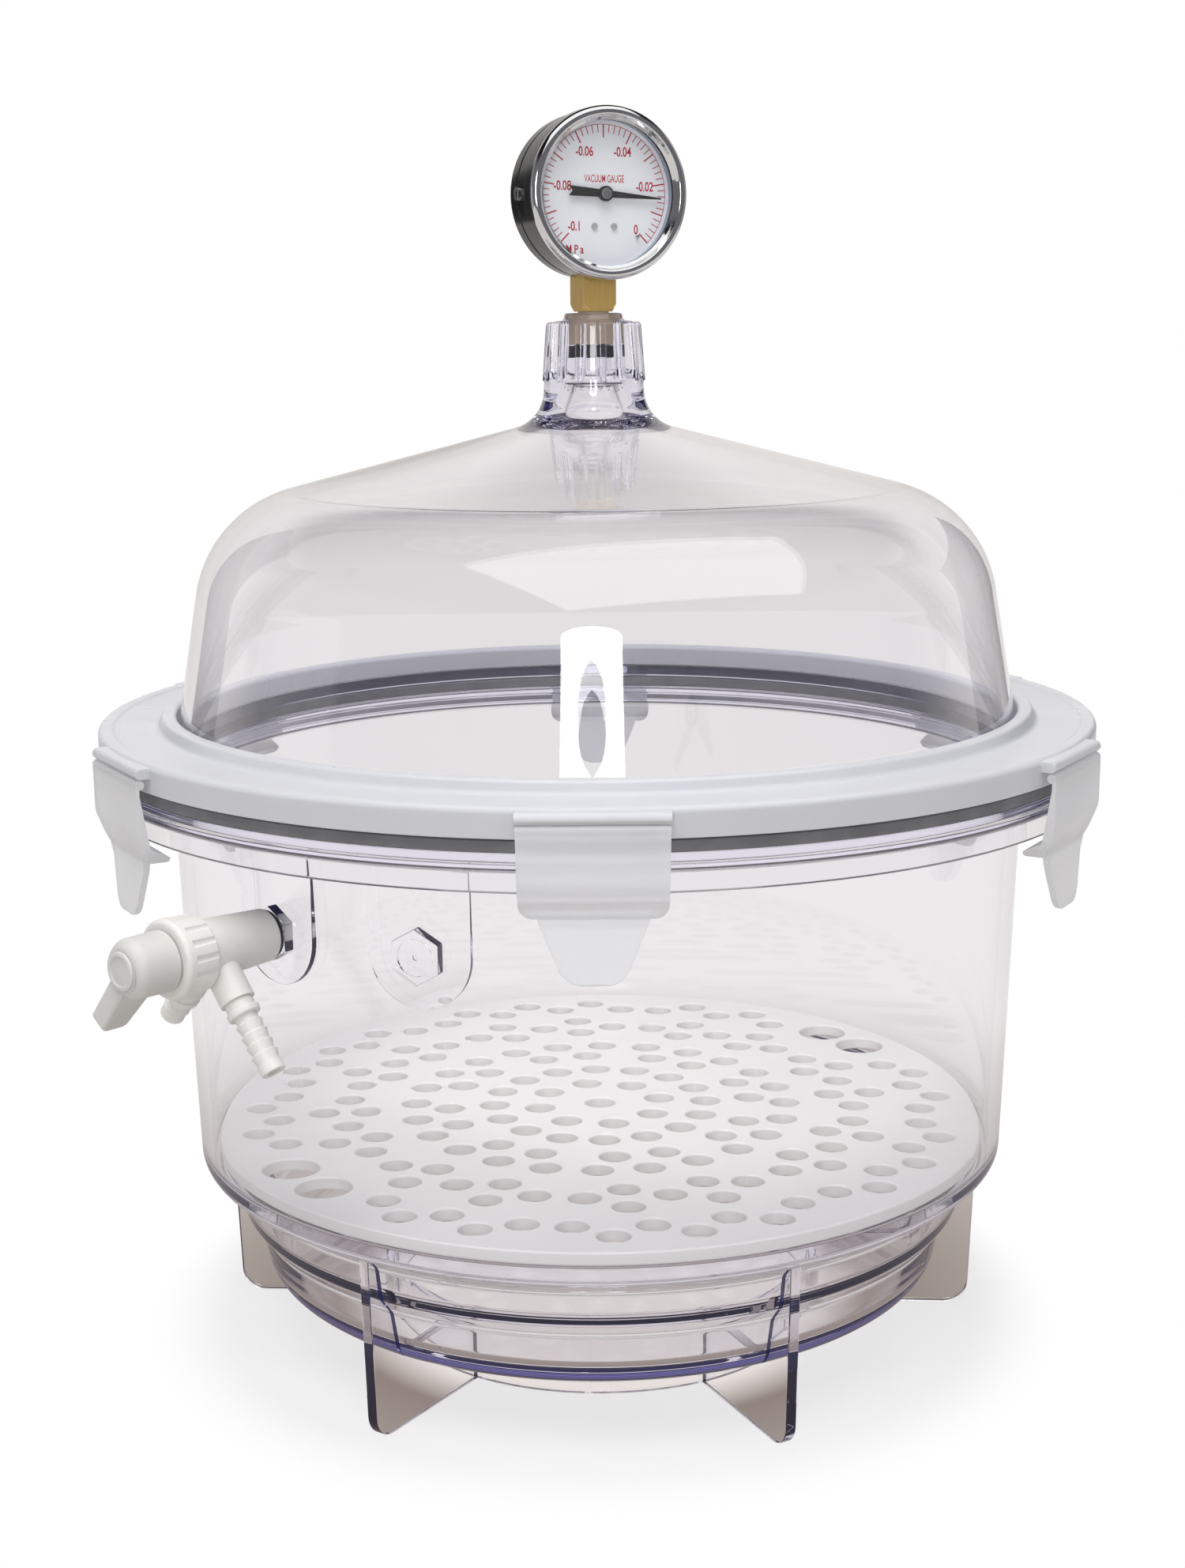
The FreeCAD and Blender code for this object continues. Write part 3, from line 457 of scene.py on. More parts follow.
TUB_OUTSIDE = [
    (0, FLOOR_UNDER_Z),
    (WELL_R, FLOOR_UNDER_Z, 9),
    (WELL_R + 4.2, 43, 5),
    (WELL_R + 9.6, 49.5, 4),
    (WELL_R + 11.4, 61.5, 5),
    (WELL_R + 17, 67.5, 4),
    (SHELF_R, 68.0, 5),
    (RIM_R, FLANGE_LOW_Z + 4.5, 1.5),
    (FLANGE_R - 3.2, FLANGE_LOW_Z + 7.2, 1.5),
    (FLANGE_R - 2.4, FLANGE_LOW_Z, 0.6),
    (FLANGE_R, FLANGE_LOW_Z, 0.6),
    (FLANGE_R, FLANGE_TOP_Z - 3.2, 0.5),
    (FLANGE_R - 1.2, FLANGE_TOP_Z - 2.6, 0.3),
    (FLANGE_R - 1.2, FLANGE_TOP_Z, 0.4),
]
TUB_INSIDE = [
    (RIM_R - WALL, FLANGE_TOP_Z, 1.5),
    (RIM_R - WALL - 0.4, FLANGE_LOW_Z),
    (SHELF_R - WALL + 0.3, SHELF_Z, 1.5),
    (WELL_R + 7.5, SHELF_Z, 1.5),
    (WELL_R + 6.8, 64, 2),
    (WELL_R + 5.2, 53, 3),
    (WELL_R - 0.2, 46, 4),
    (WELL_R - WALL, FLOOR_UNDER_Z + WALL + 1.5, 6),
    (0, FLOOR_UNDER_Z + WALL),
]


def wall_radius(z):
    return SHELF_R + (RIM_R - SHELF_R) * (z - 72) / (FLANGE_LOW_Z - 72)


def hexagon_boss(name, angle):
    body = plate(name, polygon(HEXAGON_FLATS, 6, 90), PAD_FACE - 1, PAD_FACE + 3.4)
    return facing(eased(body, 0.35), angle, PORT_Z)


def boss_pad(name, angle, ease):
    top = FLANGE_LOW_Z + 2
    pad = plank(name, [
        (-PAD_R, top),
        (-PAD_R, PORT_Z - PAD_R, PAD_R - 0.01),
        (PAD_R, PORT_Z - PAD_R, PAD_R - 0.01),
        (PAD_R, top),
    ], wall_radius(PORT_Z) - 3.2, PAD_FACE)
    return turned_by(eased(pad, ease, 50, 3), angle)


tub = lathe("tub_moulding", TUB_OUTSIDE + TUB_INSIDE, RING_STEPS)
additions = []
for which, angle in enumerate((PORT_ANGLE, BLANK_ANGLE)):
    additions.append(boss_pad("pad_%d" % which, angle, PAD_EASES[which]))
    additions.append(hexagon_boss("boss_%d" % which, angle))

fin_blank = slab("fin", [
    (FOOT_RING_R - 0.5, 0),
    (140.4, 0, 9),
    (143.0, FIN_TOP_Z, 1.0),
    (FOOT_RING_R - 0.5, FIN_TOP_Z),
], FIN_THICK)
eased(fin_blank, 0.45, 50)
tub_core = lathe("core", TUB_OUTSIDE + [(0, FLANGE_TOP_Z)], RING_STEPS)
for vertex in tub_core.data.vertices:
    flat = vertex.co.xy.length
    if flat > 20 * MM:
        vertex.co.xy *= (flat - CORE_INSET * MM) / flat
    vertex.co.z += CORE_INSET * MM
ring_core = rod("ring_core", FOOT_RING_R - 1, (0, 0, -1), (0, 0, 1), FLOOR_UNDER_Z + 3, 144)
combine(fin_blank, [tub_core, ring_core], "DIFFERENCE")
for i in range(6):
    fin = fin_blank.copy()
    fin.data = fin_blank.data.copy()
    bpy.context.scene.collection.objects.link(fin)
    additions.append(turned_by(fin, TUB_TURN + 30 + 60 * i))
bpy.data.objects.remove(fin_blank)

additions.append(lathe("foot_ring", [
    (FOOT_RING_R - FOOT_RING_WALL, 0, 0.5),
    (FOOT_RING_R, 0, 0.5),
    (FOOT_RING_R, FLOOR_UNDER_Z + 1),
    (FOOT_RING_R - FOOT_RING_WALL, FLOOR_UNDER_Z + 1),
], 192))
for i in range(6):
    rib = slab("rib_%d" % i, [
        (FOOT_RING_R - 1, 0.8),
        (FOOT_RING_R + 1.2, 0.8, 0.5),
        (FOOT_RING_R + 1.2, FLOOR_UNDER_Z + 0.5),
        (FOOT_RING_R - 1, FLOOR_UNDER_Z + 0.5),
    ], 2.2)
    additions.append(turned_by(rib, TUB_TURN + 60 * i))
combine(tub, additions)
combine(tub, [
    facing(rod("drilled", 5.2, (0, 0, 140), (0, 0, 1), 30), PORT_ANGLE, PORT_Z),
    facing(rod("blank", 6.0, (0, 0, PAD_FACE + 2.6), (0, 0, 1), 5), BLANK_ANGLE, PORT_Z),
    facing(rod("dimple", 1.0, (0, 0, PAD_FACE + 2.1), (0, 0, 1), 5, 24), BLANK_ANGLE, PORT_Z),
], "DIFFERENCE")
finish_piece(tub, CLEAR_PC, "tub", ("tub", "tub_fins", "tub_foot_ring"))

GASKET_HOLE_R = 151
GASKET_R = FLANGE_R - 0.8
gasket = lathe("seal_ring", [
    (GASKET_HOLE_R, FLANGE_TOP_Z + SEEN_GAP, 0.5),
    (GASKET_R, FLANGE_TOP_Z + SEEN_GAP, 0.6),
    (GASKET_R, SEAL_Z - SEEN_GAP, 0.6),
    (GASKET_HOLE_R, SEAL_Z - SEEN_GAP, 0.6),
], RING_STEPS)
finish_piece(gasket, GASKET_GREY, "tub", ("lid_gasket",))

# ---- perforated plate ---------------------------------------------------------------------
PLATE_R = 143.3
PLATE_THICK = 4.8
PLATE_TURN = 14.6
HOLE_R = 5.65
FINGER_R = 9.65
FINGER_RADIUS = 127.1
PLATE_EASE = 0.8
HOLE_STEPS = 40


def spot(angle, radius):
    return Vector((radius * sin(radians(angle)), -radius * cos(radians(angle))))


finger_middle = PLATE_TURN + 45 * 6.5 + 0.3
fingers = [spot(finger_middle + half + side, FINGER_RADIUS) for half in (0, 180) for side in (-5.1, 5.1)]
holes = [(Vector((0, 0)), HOLE_R)]
for radius, offsets in [
    (23.3, [-1.6]),
    (40.3, [-11.9, 10.6]),
    (57.5, [-9.1, 9.1]),
    (70.4, [-15, 0, 15]),
    (88.9, [-9.1, 9.1]),
    (96.5, [-17.4, 0, 17.4]),
    (104.8, [-9.1, 9.1]),
    (121.5, [-18.6, -6.1, 6.1, 18.6]),
    (129.4, [-12.4, 0, 12.4]),
]:
    for eighth in range(8):
        for offset in offsets:
            holes.append((spot(PLATE_TURN + 45 * eighth + offset, radius), HOLE_R))
room = FINGER_R + HOLE_R + 1
holes = [h for h in holes if min((h[0] - f).length for f in fingers) > room]
holes += [(f, FINGER_R) for f in fingers]


def flat_with_holes(name, outer, holes, thick, ease):
    """Round plate with eased edges, made as a filled outline."""
    curve = bpy.data.curves.new(name, "CURVE")
    curve.dimensions = "2D"
    curve.fill_mode = "BOTH"
    curve.extrude = (thick / 2 - ease) * MM
    curve.bevel_depth = ease * MM
    curve.bevel_resolution = 2
    curve.offset = -ease * MM
    for centre, radius, count in [(Vector((0, 0)), outer, RING_STEPS)] + [(c, r, HOLE_STEPS) for c, r in holes]:
        spline = curve.splines.new("POLY")
        spline.points.add(count - 1)
        for k in range(count):
            a = 2 * pi * k / count
            spline.points[k].co = ((centre.x + radius * cos(a)) * MM, (centre.y + radius * sin(a)) * MM, 0, 1)
        spline.use_cyclic_u = True
    source = bpy.data.objects.new(name, curve)
    bpy.context.scene.collection.objects.link(source)
    bpy.context.view_layer.update()
    mesh = bpy.data.meshes.new_from_object(source.evaluated_get(bpy.context.evaluated_depsgraph_get()))
    bpy.data.objects.remove(source)
    obj = bpy.data.objects.new(name, mesh)
    bpy.context.scene.collection.objects.link(obj)
    work = bmesh.new()
    work.from_mesh(mesh)
    bmesh.ops.remove_doubles(work, verts=work.verts, dist=0.01 * MM)
    bmesh.ops.recalc_face_normals(work, faces=work.faces)
    work.to_mesh(mesh)
    work.free()
    return obj


seen_thick = PLATE_THICK - SEEN_GAP
shelf_plate = flat_with_holes("drain_plate", PLATE_R, holes, seen_thick, PLATE_EASE)
shifted(shelf_plate, 0, 0, SHELF_Z + SEEN_GAP + seen_thick / 2)
finish_piece(shelf_plate, PLATE_WHITE, "plate", ("perforated_plate",), 40)

# ---- lid ----------------------------------------------------------------------------------
DOME_WALL = 4.0
DOME_R = 150.9
DOME_FOOT_Z = 236.0
DOME_LEAN = 0.175
ROOF_R = 96.4
ROOF_Z = 316.0
ROOF_FALL = 0.2545
SHOULDER = 45.0
LID_FLANGE_R = 177.0
LID_FLANGE_TOP = SEAL_Z + 5.0
NECK_TOP_Z = 370.8
NECK_R = 15.4
NECK_ROOT_R = 18.5
NECK_ROOT_FILLET = 14.0
STEM_BORE_R = 6.6
RIB_LOW_Z = 349.5
RIB_COUNT = 14
RIB_R = 2.0
RIB_LEAN = 4.2
RIB_CIRCLE_R = 16.5
SEAT_Z = 357.8             # the ledge in the neck that the stem's washer lies on


def roof_z(radius):
    return ROOF_Z + ROOF_FALL * (ROOF_R - radius)


def dome_radius(z):
    return DOME_R - DOME_LEAN * (z - DOME_FOOT_Z)


edge_z = (ROOF_Z + ROOF_FALL * (ROOF_R - DOME_R - DOME_LEAN * DOME_FOOT_Z)) / (1 - ROOF_FALL * DOME_LEAN)
edge_r = dome_radius(edge_z)
slope = hypot(1, ROOF_FALL)
dome = lathe("dome_moulding", [
    (dome_radius(SEAL_Z) - DOME_WALL, SEAL_Z, 1),
    (LID_FLANGE_R, SEAL_Z, 0.4),
    (LID_FLANGE_R, LID_FLANGE_TOP, 0.4),
    (dome_radius(LID_FLANGE_TOP), LID_FLANGE_TOP, 1.2),
    (edge_r, edge_z, SHOULDER),
    (NECK_ROOT_R, roof_z(NECK_ROOT_R), NECK_ROOT_FILLET),
    (NECK_ROOT_R - 0.7, RIB_LOW_Z + 1),
    (NECK_R, RIB_LOW_Z + 4),
    (NECK_R - 0.4, NECK_TOP_Z, 2.0),
    (11.0, NECK_TOP_Z, 1.2),
    (10.2, NECK_TOP_Z + 2.7, 0.8),
    (STEM_BORE_R, NECK_TOP_Z + 2.7, 0.4),
    (STEM_BORE_R, SEAT_Z),
    (4.0, SEAT_Z),
    (4.0, 349.0),
    (7.0, 349.0, 1.0),
    (10.8, roof_z(10.8) - DOME_WALL * slope, 7),
    (edge_r - DOME_WALL, roof_z(edge_r - DOME_WALL) - DOME_WALL * slope, SHOULDER - DOME_WALL),
], RING_STEPS)
rib_length = NECK_TOP_Z - 0.4 - RIB_LOW_Z
ribs = []
for i in range(RIB_COUNT):
    rib = lathe("neck_rib_%d" % i, [(0, 0), (RIB_R, 0, 0.5), (RIB_R, rib_length, 1.4), (0, rib_length)], 28)
    turned_by(rib, -RIB_LEAN, "X")
    shifted(rib, 0, -RIB_CIRCLE_R, RIB_LOW_Z)
    ribs.append(turned_by(rib, 360 / RIB_COUNT * (i + 0.5) - 3.4))
combine(dome, ribs)
finish_piece(dome, CLEAR_PC, "lid", ("dome_cover", "neck_foot", "neck_flutes"))

RING_R = 180.0
RING_LOW_Z = 221.6
RING_TOP_Z = 230.5
HINGE_R = 182.0
HINGE_Z = 225.0
BARREL_R = 1.5
CLIP_FACE_R = 183.5
CLIP_HALF = 22.7
CLIP_LOW_Z = 197.7
TAB_LOW_Z = 177.8
HOOK_R = 172.5
HOOK_TOP_Z = 200.0
under = LID_FLANGE_TOP + SEEN_GAP
hole = dome_radius(LID_FLANGE_TOP)
clamp = lathe("clamp_moulding", [
    (RING_R, RING_LOW_Z, 0.5),
    (RING_R, RING_TOP_Z + 0.9, 2.3),
    (RING_R - 4.8, RING_TOP_Z + 0.9, 1.4),
    (RING_R - 5.8, RING_TOP_Z, 1.2),
    (hole + 6.6, RING_TOP_Z, 2.5),
    (hole + 4.6, RING_TOP_Z + 4.6, 2),
    (hole - 0.6, RING_TOP_Z + 4.6, 1.6),
    (hole + 1.7, under, 0.4),
    (LID_FLANGE_R + 0.3, under),
    (LID_FLANGE_R + 0.3, RING_LOW_Z, 0.5),
], RING_STEPS)
lugs = []
for i in range(6):
    lug = slab("lug_%d" % i, [
        (RING_R - 2, HINGE_Z + BARREL_R + 0.3),
        (HINGE_R + 0.4, HINGE_Z + BARREL_R + 0.3, 0.3),
        (CLIP_FACE_R - 0.1, HINGE_Z + BARREL_R + 1.5, 0.6),
        (CLIP_FACE_R - 0.1, RING_TOP_Z, 2.0),
        (RING_R - 2, RING_TOP_Z),
    ], 2 * CLIP_HALF + 0.8)
    lugs.append(turned_by(eased(lug, 0.5, 50), 60 * i))
combine(clamp, lugs)
finish_piece(clamp, RING_WHITE, "lid", ("clamp_ring",))

inner = CLIP_FACE_R - 1.3
side = slab("clip", [
    (CLIP_FACE_R, HINGE_Z),
    (CLIP_FACE_R, 209, 9),
    (CLIP_FACE_R - 4.4, CLIP_LOW_Z, 1.2),
    (HOOK_R, CLIP_LOW_Z + 0.2, 0.8),
    (HOOK_R, HOOK_TOP_Z, 0.8),
    (179.2, 203.3, 0.8),
    (inner, 221.0),
    (inner, HINGE_Z),
], 2 * CLIP_HALF)
combine(side, [plank("front", [
    (-CLIP_HALF, HINGE_Z + BARREL_R),
    (-CLIP_HALF + 0.5, CLIP_LOW_Z, 5),
    (CLIP_HALF - 0.5, CLIP_LOW_Z, 5),
    (CLIP_HALF, HINGE_Z + BARREL_R),
], 170, 190)], "INTERSECT")
tab = slab("tab", [
    (CLIP_FACE_R - 2.6, 203, 0.5),
    (CLIP_FACE_R - 3.6, 195, 9),
    (CLIP_FACE_R - 2.2, TAB_LOW_Z, 0.9),
    (CLIP_FACE_R - 4.2, TAB_LOW_Z, 0.9),
    (CLIP_FACE_R - 5.8, 195, 9),
    (CLIP_FACE_R - 5.4, 203, 0.5),
], 2 * CLIP_HALF)
combine(tab, [plank("tab_front", [
    (-17.0, 204),
    (-16.6, CLIP_LOW_Z, 6),
    (-8.6, TAB_LOW_Z, 8.5),
    (8.6, TAB_LOW_Z, 8.5),
    (16.6, CLIP_LOW_Z, 6),
    (17.0, 204),
], 170, 190)], "INTERSECT")
barrel = rod("barrel", BARREL_R, (-CLIP_HALF, -HINGE_R, HINGE_Z), (1, 0, 0), 2 * CLIP_HALF, 48)
combine(side, [barrel, tab])
eased(side, 0.3, 40)
for i in range(6):
    clip = side.copy()
    clip.data = side.data.copy()
    clip.name = "clip_%d_moulding" % (i + 1)
    bpy.context.scene.collection.objects.link(clip)
    turned_by(clip, 60 * i)
    finish_piece(clip, CLIP_WHITE, "clip_%d" % (i + 1), ("clip_%d" % (i + 1),))
bpy.data.objects.remove(side)

# ---- gauge --------------------------------------------------------------------------------
GAUGE_Z = 414.0
GAUGE_ANGLE = 23.6
CASE_R = 28.6
CASE_BACK = -8.0
BEZEL_R = 29.4
BEZEL_FRONT = 17.0
DIAL_FACE = 9.6
SIGHT_R = 24.4
WINDOW_BACK = 12.8
WINDOW_FRONT = 14.7
WINDOW_R = 26.9
DIAL_R = 27.3
STOP_R = 19.0
STOP_AT = 139
SCREW_X, SCREW_Y = 3.7, -11.0
COLLAR_BACK = 9.0
BLOCK_LOW = 374.0
BLOCK_TOP = 389.8
STEM_LOW_Z = 362.0
STEM_HOLE_R = 2.0
THREAD_PITCH = 1.3
BLOCK_FLATS = 12.5


def on_gauge(obj):
    return facing(obj, GAUGE_ANGLE, GAUGE_Z)


case = lathe("gauge_cup", [
    (0, CASE_BACK),
    (CASE_R, CASE_BACK, 2.5),
    (CASE_R, -0.6, 0.2),
    (CASE_R - 0.5, 0, 0.2),
    (CASE_R, 0.6, 0.2),
    (CASE_R, 12.6),
    (CASE_R - 1.2, 12.6),
    (CASE_R - 1.2, CASE_BACK + 1.2, 1.5),
    (0, CASE_BACK + 1.2),
], 192)
case_cuts = [
    plate("notch", [(-6.6, -CASE_R - 3), (6.6, -CASE_R - 3), (6.6, -CASE_R + 9), (-6.6, -CASE_R + 9)], -6.6, 6.6),
    rod("relief", 3.5, (0, 9, CASE_BACK - 1), (0, 0, 1), 4),
]
for turn in (60, 180, 300):
    case_cuts.append(turned_by(rod("screw_hole", 1.1, (CASE_R - 5, 0, 3.5), (1, 0, 0), 8, 24), turn))
combine(case, case_cuts, "DIFFERENCE")
finish_piece(on_gauge(case), CASE_BLACK, "lid", ("gauge_case",))

lip = BEZEL_FRONT - 2.2
collar = lathe("bezel_collar", [
    (CASE_R + 0.05, COLLAR_BACK, 0.2),
    (BEZEL_R, COLLAR_BACK, 0.3),
    (BEZEL_R, lip - 0.6, 0.2),
    (CASE_R + 0.05, lip - 0.6),
], 192)
finish_piece(on_gauge(collar), CASE_BLACK, "lid")
bezel = lathe("bezel_ring", [
    (CASE_R + 0.05, lip - 0.57),
    (BEZEL_R, lip - 0.57, 0.2),
    (BEZEL_R, BEZEL_FRONT, 2.0),
    (BEZEL_R - 3.0, BEZEL_FRONT, 0.8),
    (SIGHT_R + 1.1, lip + 0.9, 0.5),
    (SIGHT_R, lip, 0.1),
    (CASE_R - 0.4, lip),
    (CASE_R + 0.05, lip - 0.3),
], 192)
finish_piece(on_gauge(bezel), CHROME, "lid", ("gauge_bezel",))

window = lathe("sight_glass", [
    (0, WINDOW_BACK + SEEN_GAP),
    (WINDOW_R, WINDOW_BACK + SEEN_GAP, 0.2),
    (WINDOW_R, WINDOW_FRONT, 0.2),
    (0, WINDOW_FRONT),
], 128)
finish_piece(on_gauge(window), WINDOW, "lid", ("gauge_window",))

packing = band("sight_packing", SIGHT_R + 0.6, WINDOW_R, WINDOW_BACK - 0.8, WINDOW_BACK, 128)
finish_piece(on_gauge(packing), SEAL_BLACK, "lid", ("window_gasket",))
spacer = band("dial_wall", SIGHT_R + 0.4, DIAL_R, DIAL_FACE + 0.01, WINDOW_BACK - 0.81, 128)
finish_piece(on_gauge(spacer), SPACER_GREY_AND_SHADE, "lid", ("dial_spacer",))

dial = band("dial_disc", 1.6, DIAL_R, DIAL_FACE - 0.6, DIAL_FACE, 128)
stop_x, stop_y = STOP_R * sin(radians(STOP_AT)), STOP_R * cos(radians(STOP_AT))
combine(dial, [rod("pin_hole", 0.45, (x, y, DIAL_FACE - 2), (0, 0, 1), 4, 20)
               for x, y in ((-SCREW_X, SCREW_Y), (SCREW_X, SCREW_Y), (stop_x, stop_y))], "DIFFERENCE")
finish_piece(on_gauge(dial), DIAL_WHITE, "lid", ("gauge_dial",))

# printed scale: thin raised ink on the dial
INK = 0.03
SCALE_R = 23.4
ZERO_AT = 135.0            # degrees clockwise from the top
STEP = 5.4
STEPS = 50
LINE_HALF = 0.1
print_verts, print_faces = [], []


def ink_bar(corners):
    start = len(print_verts)
    print_verts.extend([(x, y, DIAL_FACE + 0.005) for x, y in corners])
    print_verts.extend([(x, y, DIAL_FACE + INK) for x, y in corners])
    print_faces.extend([[start + k for k in (3, 2, 1, 0)], [start + k for k in (4, 5, 6, 7)]])
    for k in range(4):
        n = (k + 1) % 4
        print_faces.append([start + k, start + n, start + 4 + n, start + 4 + k])


def dial_point(radius, clockwise):
    return radius * sin(radians(clockwise)), radius * cos(radians(clockwise))


def ink_tick(clockwise, inner_r, outer_r, width):
    out = Vector(dial_point(1, clockwise))
    across = Vector((out.y, -out.x)) * width / 2
    ink_bar([out * inner_r - across, out * inner_r + across, out * outer_r + across, out * outer_r - across])


for k in range(STEPS + 1):
    at = ZERO_AT - STEP * k
    if k % 5 == 0:
        ink_tick(at, SCALE_R - 4.5, SCALE_R, 0.46)
    else:
        ink_tick(at, SCALE_R - 2.8, SCALE_R, 0.30)
for k in range(2 * STEPS):
    a, b = ZERO_AT - STEP / 2 * k, ZERO_AT - STEP / 2 * (k + 1)
    ink_bar([dial_point(SCALE_R - LINE_HALF, a), dial_point(SCALE_R + LINE_HALF, a),
             dial_point(SCALE_R + LINE_HALF, b), dial_point(SCALE_R - LINE_HALF, b)])
ticks = mesh_object("scale_print", print_verts, print_faces)
finish_piece(on_gauge(ticks), RED_INK, "lid")


def lettering(name, text, x, y, height, narrow, bold=0.00008):
    curve = bpy.data.curves.new(name, "FONT")
    curve.body = text
    curve.size = height * MM / 0.73
    curve.align_x = "CENTER"
    curve.align_y = "CENTER"
    curve.extrude = 0.00001
    curve.offset = bold
    curve.resolution_u = 6
    source = bpy.data.objects.new(name, curve)
    bpy.context.scene.collection.objects.link(source)
    bpy.context.view_layer.update()
    mesh = bpy.data.meshes.new_from_object(source.evaluated_get(bpy.context.evaluated_depsgraph_get()))
    bpy.data.objects.remove(source)
    mesh.transform(Matrix.Diagonal((narrow, 1, 1, 1)))
    obj = bpy.data.objects.new(name, mesh)
    bpy.context.scene.collection.objects.link(obj)
    shifted(obj, x, y, DIAL_FACE + 0.02)
    finish_piece(on_gauge(obj), RED_INK, "lid")


for k, text in enumerate(("0", "-0.02", "-0.04", "-0.06", "-0.08", "-0.1")):
    x, y = dial_point(17.2 if k == 0 else 15.8, ZERO_AT - 10 * STEP * k)
    lettering("scale_number_%d" % k, text, x, y, 3.3, 0.72)
lettering("scale_title", "VACUUM GAUGE", 0.2, 5.0, 2.6, 0.54, 0.00003)
lettering("scale_unit", "M P a", -11.2, -19.0, 3.0, 0.72)

socket_block = plate("socket_block", polygon(BLOCK_FLATS, 4, 45), BLOCK_LOW, BLOCK_TOP)
combine(socket_block, [lathe("chamfer", [(0, 373), (6.0, 373), (9.2, 377), (9.2, 391), (0, 391)], 96)], "INTERSECT")
eased(socket_block, 0.2, 25)
stem = [(STEM_HOLE_R, STEM_LOW_Z), (5.4, STEM_LOW_Z)]
for i in range(8):
    z = STEM_LOW_Z + 0.4 + THREAD_PITCH * i
    stem += [(STEM_BORE_R + 0.01, z), (STEM_BORE_R + 0.12, z + THREAD_PITCH / 2)]
stem += [(5.5, 373.2), (5.5, BLOCK_LOW - 0.02), (STEM_HOLE_R, BLOCK_LOW - 0.02)]
finish_piece(lathe("threaded_stem", stem, 96), SEALED_BRASS, "lid")
combine(socket_block, [rod("seat", 3.0, (0, 0, BLOCK_TOP - 1), (0, 0, 1), 9.2)])
combine(socket_block, [rod("bore", STEM_HOLE_R, (0, 0, BLOCK_LOW - 1), (0, 0, 1), 30)], "DIFFERENCE")
finish_piece(turned_by(socket_block, GAUGE_ANGLE), BRASS, "lid", ("gauge_socket",), 24)

washer = band("stem_washer", 3.0, STEM_BORE_R + 0.02, SEAT_Z + SEEN_GAP, STEM_LOW_Z - SEEN_GAP, 64)
finish_piece(washer, SEAL_BLACK, "lid", ("gauge_seal",))

# ---- stopcock -----------------------------------------------------------------------------
TAP_START = 158.2
BARB_AT = 181.3
BARB_TILT = 40.0
SOCKET_END = 19.5
NUT_BACK = 187.3
NUT_FRONT = 199.5
HUB_BACK = 199.9
HUB_FRONT = 215.4
LEVER_REACH = 25.5
LEVER_HALF = 3.5
LEVER_TILT = 37.0
WAY_R = 2.2
SOCKET_BORE_R = 4.55
SOCKET_START = 12.5
VALLEY_R = 3.7
BARB_R = 4.45
SEAL_FACE = 1.4
NUT_HOLE_R = 10.05


def on_tap(obj):
    return facing(obj, PORT_ANGLE, PORT_Z)


def barb_way(side):
    return Vector((side * sin(radians(BARB_TILT)), -cos(radians(BARB_TILT)), 0))


seal = lathe("port_ring", [
    (5.3, TAP_START - 0.2 + SEEN_GAP),
    (8.0, TAP_START - 0.2 + SEEN_GAP, 0.5),
    (8.0, TAP_START + 1.37, 0.5),
    (5.3, TAP_START + 1.37),
], 96)
finish_piece(on_tap(seal), SEAL_BLACK, "tub", ("port_seal",))

start = TAP_START + SEAL_FACE
body = lathe("tap_barrel", [
    (0, 148.5),
    (4.6, 148.5, 0.6),
    (5.15, 150),
    (5.15, start),
    (8.6, start, 0.8),
    (10.0, NUT_BACK - 1, 0.5),
    (10.0, 196),
    (0, 196),
], 128)
at = Vector((0, 0, BARB_AT))
sockets, cuts = [], []
for side_sign in (-1, 1):
    way = barb_way(side_sign)
    sockets.append(rod("socket", 5.7, at, way, SOCKET_END, 96))
    cuts.append(rod("socket_bore", SOCKET_BORE_R, at + way * SOCKET_START, way, 20, 64))
    cuts.append(rod("way", WAY_R, at + way * 3, way, 20, 48))
cuts.append(rod("core", 4.6, (0, 0, 168), (0, 0, 1), 40, 64))
cuts.append(rod("wide", 8.2, (0, 0, 193), (0, 0, 1), 10, 64))
cuts.append(rod("inlet", WAY_R, (0, 0, 140), (0, 0, 1), 40, 48))
combine(body, sockets)
combine(body, cuts, "DIFFERENCE")
eased(body, 0.3, 50)
finish_piece(on_tap(body), TAP_WHITE, "tub", ("stopcock_body",))


def hose_barb(name, side_sign, length):
    outline = [
        (WAY_R, SOCKET_START),
        (4.5, SOCKET_START),
        (4.5, SOCKET_END + 0.05),
        (4.7, SOCKET_END + 0.6, 0.2),
        (4.7, SOCKET_END + 3.0),
        (5.5, SOCKET_END + 3.2, 0.3),
        (5.3, SOCKET_END + 5.2, 0.4),
        (VALLEY_R, SOCKET_END + 5.4),
    ]
    first = SOCKET_END + 8.0
    count = 4 if length > 40 else 2
    pitch = (length - first - 3.0) / count
    for i in range(count):
        z = first + pitch * i
        outline += [(VALLEY_R, z - 0.4), (BARB_R, z, 0.1), (VALLEY_R, z + pitch * 0.7)]
    outline += [(4.0, length - 3.0), (4.0, length, 0.3), (WAY_R, length, 0.2)]
    barb = lathe(name, outline, 96)
    turned_by(barb, 90, "X")
    turned_by(barb, side_sign * BARB_TILT)
    return shifted(barb, 0, 0, BARB_AT)


for which, side_sign, length in (("long", 1, 45.0), ("short", -1, 34.0)):
    barb = hose_barb(which + "_barb", side_sign, length)
    finish_piece(on_tap(barb), TAP_WHITE, "tub", ("hose_barb_" + which,))

